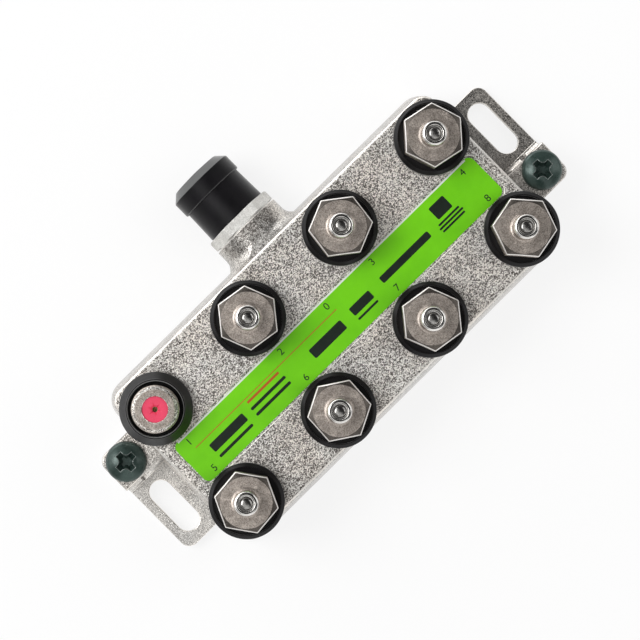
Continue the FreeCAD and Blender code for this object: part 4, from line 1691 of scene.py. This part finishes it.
@dataclass(frozen=True)
class Studio:
    """A pale floor, soft lamps, and the camera where the photograph was taken from.

    The fields of two numbers that end in reach say between which shares of a direction's X, Y or Z the
    surroundings change; directions are of length 1.
    """

    camera_mm: tuple[float, float, float] = (-14.63, 3.99, 587.5)
    aim_mm: tuple[float, float, float] = (-2.8, 1.8, 16.5)
    roll_deg: float = 44.6
    focal_px: float = 2891.0
    image_px: float = 640.0
    sensor_mm: float = 36.0
    ambient: float = 0.45
    overhead: tuple[float, float] = (1.05, 0.06)
    overhead_reach: tuple[float, float] = (-0.14, 0.12)
    lens: float = 0.4
    lens_reach: tuple[float, float] = (0.975, 0.995)
    gap: float = 0.1
    gap_reach: tuple[float, float] = (-0.66, -0.4)
    gap_side_reach: tuple[float, float] = (0.03, 0.14)
    horizon: tuple[float, float, float] = (1.3, 0.8, 3.4)
    horizon_reach: tuple[float, float] = (0.1, 0.55)
    behind_reach: tuple[float, float] = (-0.85, -0.3)
    beside_reach: tuple[float, float] = (0.0, 0.7)
    ahead_reach: tuple[float, float] = (0.3, 0.85)
    ahead_low_reach: tuple[float, float] = (0.12, 0.38)
    lamps: tuple[tuple[str, tuple[float, float, float], float, float], ...] = (
        ("key_light", (-0.35, 0.45, 0.75), 0.5, 4.0),
        ("fill_light", (0.6, -0.25, 0.55), 0.6, 1.6),
        ("rim_light", (0.1, 0.8, 0.25), 0.4, 1.0),
    )
    floor_half: float = 3.0
    floor_gap: float = 0.0002
    floor_glow: float = 0.8
    floor_tones: tuple[Color, Color] = ((0.86, 0.86, 0.86), (0.9, 0.9, 0.9))
    floor_cloud_mm: float = 40.0
    floor_rough: float = 0.9

    def build(self) -> None:
        """Builds the camera, the world, the lamps and the floor."""
        self.camera()
        self.world()
        for lamp in self.lamps:
            self.lamp(*lamp)
        self.floor()

    def camera(self) -> None:
        """Sets the camera so that +X runs up to the right by the roll angle in the picture."""
        place, aim = Vector(self.camera_mm) * MM, Vector(self.aim_mm) * MM
        forward = (aim - place).normalized()
        along = (Vector((1, 0, 0)) - forward * forward.x).normalized()
        upward = along.cross(forward)
        roll = math.radians(self.roll_deg)
        right = along * math.cos(roll) - upward * math.sin(roll)
        up = along * math.sin(roll) + upward * math.cos(roll)
        data = bpy.data.cameras.new("camera")
        data.sensor_width = self.sensor_mm
        data.lens = self.focal_px * self.sensor_mm / self.image_px
        data.clip_end = 10.0
        view = bpy.data.objects.new("camera", data)
        view.matrix_world = Matrix.Translation(place) @ Matrix((right, up, -forward)).transposed().to_4x4()
        bpy.context.scene.collection.objects.link(view)
        bpy.context.scene.camera = view

    def world(self) -> None:
        """Sets the surroundings, which are plain as a light and varied where they are mirrored.

        Mirrored, they are dark overhead toward +X and at the lens, and lighter overhead toward -X, but for
        one dark gap there. Near the horizon they are bright, most of all low toward +Y and then toward -Y.
        """
        world = bpy.data.worlds.new("studio")
        world.use_nodes = True
        world.node_tree.nodes.clear()
        w = Wiring(world.node_tree)
        coordinates = w.add("ShaderNodeTexCoord").outputs
        way = w.add("ShaderNodeSeparateXYZ", Vector=coordinates["Generated"]).outputs
        lens = w.level(way["Z"], *self.lens_reach, 1.0, self.lens)
        overhead = w.join(w.level(way["X"], *self.overhead_reach, *self.overhead), lens, "MULTIPLY")
        aside = w.level(w.join(way["Y"], way["Y"], "MULTIPLY"), *self.gap_side_reach, self.gap, 1.0)
        gap = w.join(aside, w.level(way["X"], *self.gap_reach, self.gap, 1.0), "MAXIMUM")
        overhead = w.join(overhead, gap, "MULTIPLY")
        behind, beside, ahead = self.horizon
        back = w.level(way["Y"], *self.behind_reach, behind - beside, 0.0)
        low = w.level(way["Z"], *self.ahead_low_reach, 1.0, 0.0)
        front = w.join(w.level(way["Y"], *self.ahead_reach, 0.0, ahead - beside), low, "MULTIPLY")
        side = w.level(way["X"], *self.beside_reach, beside, beside / 2)
        horizon = w.join(w.join(side, back), front)
        sky = w.mix(w.level(way["Z"], *self.horizon_reach, 1.0, 0.0), overhead, horizon)
        plain = (self.ambient, self.ambient, self.ambient)
        shade = w.add("ShaderNodeBackground", Color=w.mix(w.seen(), plain, sky), Strength=1.0)
        w.add("ShaderNodeOutputWorld", Surface=shade.outputs[0])
        bpy.context.scene.world = world

    def lamp(self, name: str, place: tuple[float, float, float], size: float, power: float) -> None:
        """Adds one square soft lamp that looks at the object.

        Args:
            name: The lamp's name.
            place: Where it hangs, in metres.
            size: Its side, in metres.
            power: Its power in watts.
        """
        data = bpy.data.lights.new(name, "AREA")
        data.size = size
        data.energy = power
        lamp = bpy.data.objects.new(name, data)
        facing = (-Vector(place)).to_track_quat("-Z", "Y").to_matrix().to_4x4()
        lamp.matrix_world = Matrix.Translation(place) @ facing
        bpy.context.scene.collection.objects.link(lamp)

    def floor(self) -> None:
        """Adds the floor under the object's back, white where seen or mirrored and pale as a light."""
        corners = np.array([(-1, -1), (1, -1), (1, 1), (-1, 1)]) * self.floor_half
        mesh = bpy.data.meshes.new("floor")
        points = np.column_stack([corners, np.full(4, -self.floor_gap)])
        mesh.from_pydata(points.tolist(), [], [(0, 1, 2, 3)])
        floor = new_object(mesh)
        s = Shading("floor")
        tone = s.mix(s.noise(self.floor_cloud_mm, 2.0), *self.floor_tones)
        seen = s.seen()
        rest = 1 - self.floor_glow
        mesh.materials.append(s.dress(Base_Color=s.mix(seen, tone, (rest, rest, rest)),
                                      Roughness=self.floor_rough, Specular_IOR_Level=0.1,
                                      Emission_Color=(1, 1, 1),
                                      Emission_Strength=s.join(seen, self.floor_glow, "MULTIPLY")))


def main() -> None:
    """Builds the sub-assemblies in order and reports each piece."""
    logging.basicConfig(level=logging.INFO, format="%(message)s")
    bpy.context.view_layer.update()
    bpy.context.scene.view_settings.view_transform = "Standard"
    layout = Layout()
    shop = Workshop()
    assemblies = [Casting(layout), OpenPort(layout), InputPort(layout), LabelPrint(), Electronics(layout)]
    assemblies += [SealRing(layout, number) for number in layout.numbers()[1:]]
    assemblies += [Terminator(layout, number, turn) for number, turn in enumerate(HEX_TURNS_DEG, 2)]
    for assembly in assemblies:
        assembly.build(shop)
    Studio().build()


if __name__ == "__main__":
    main()
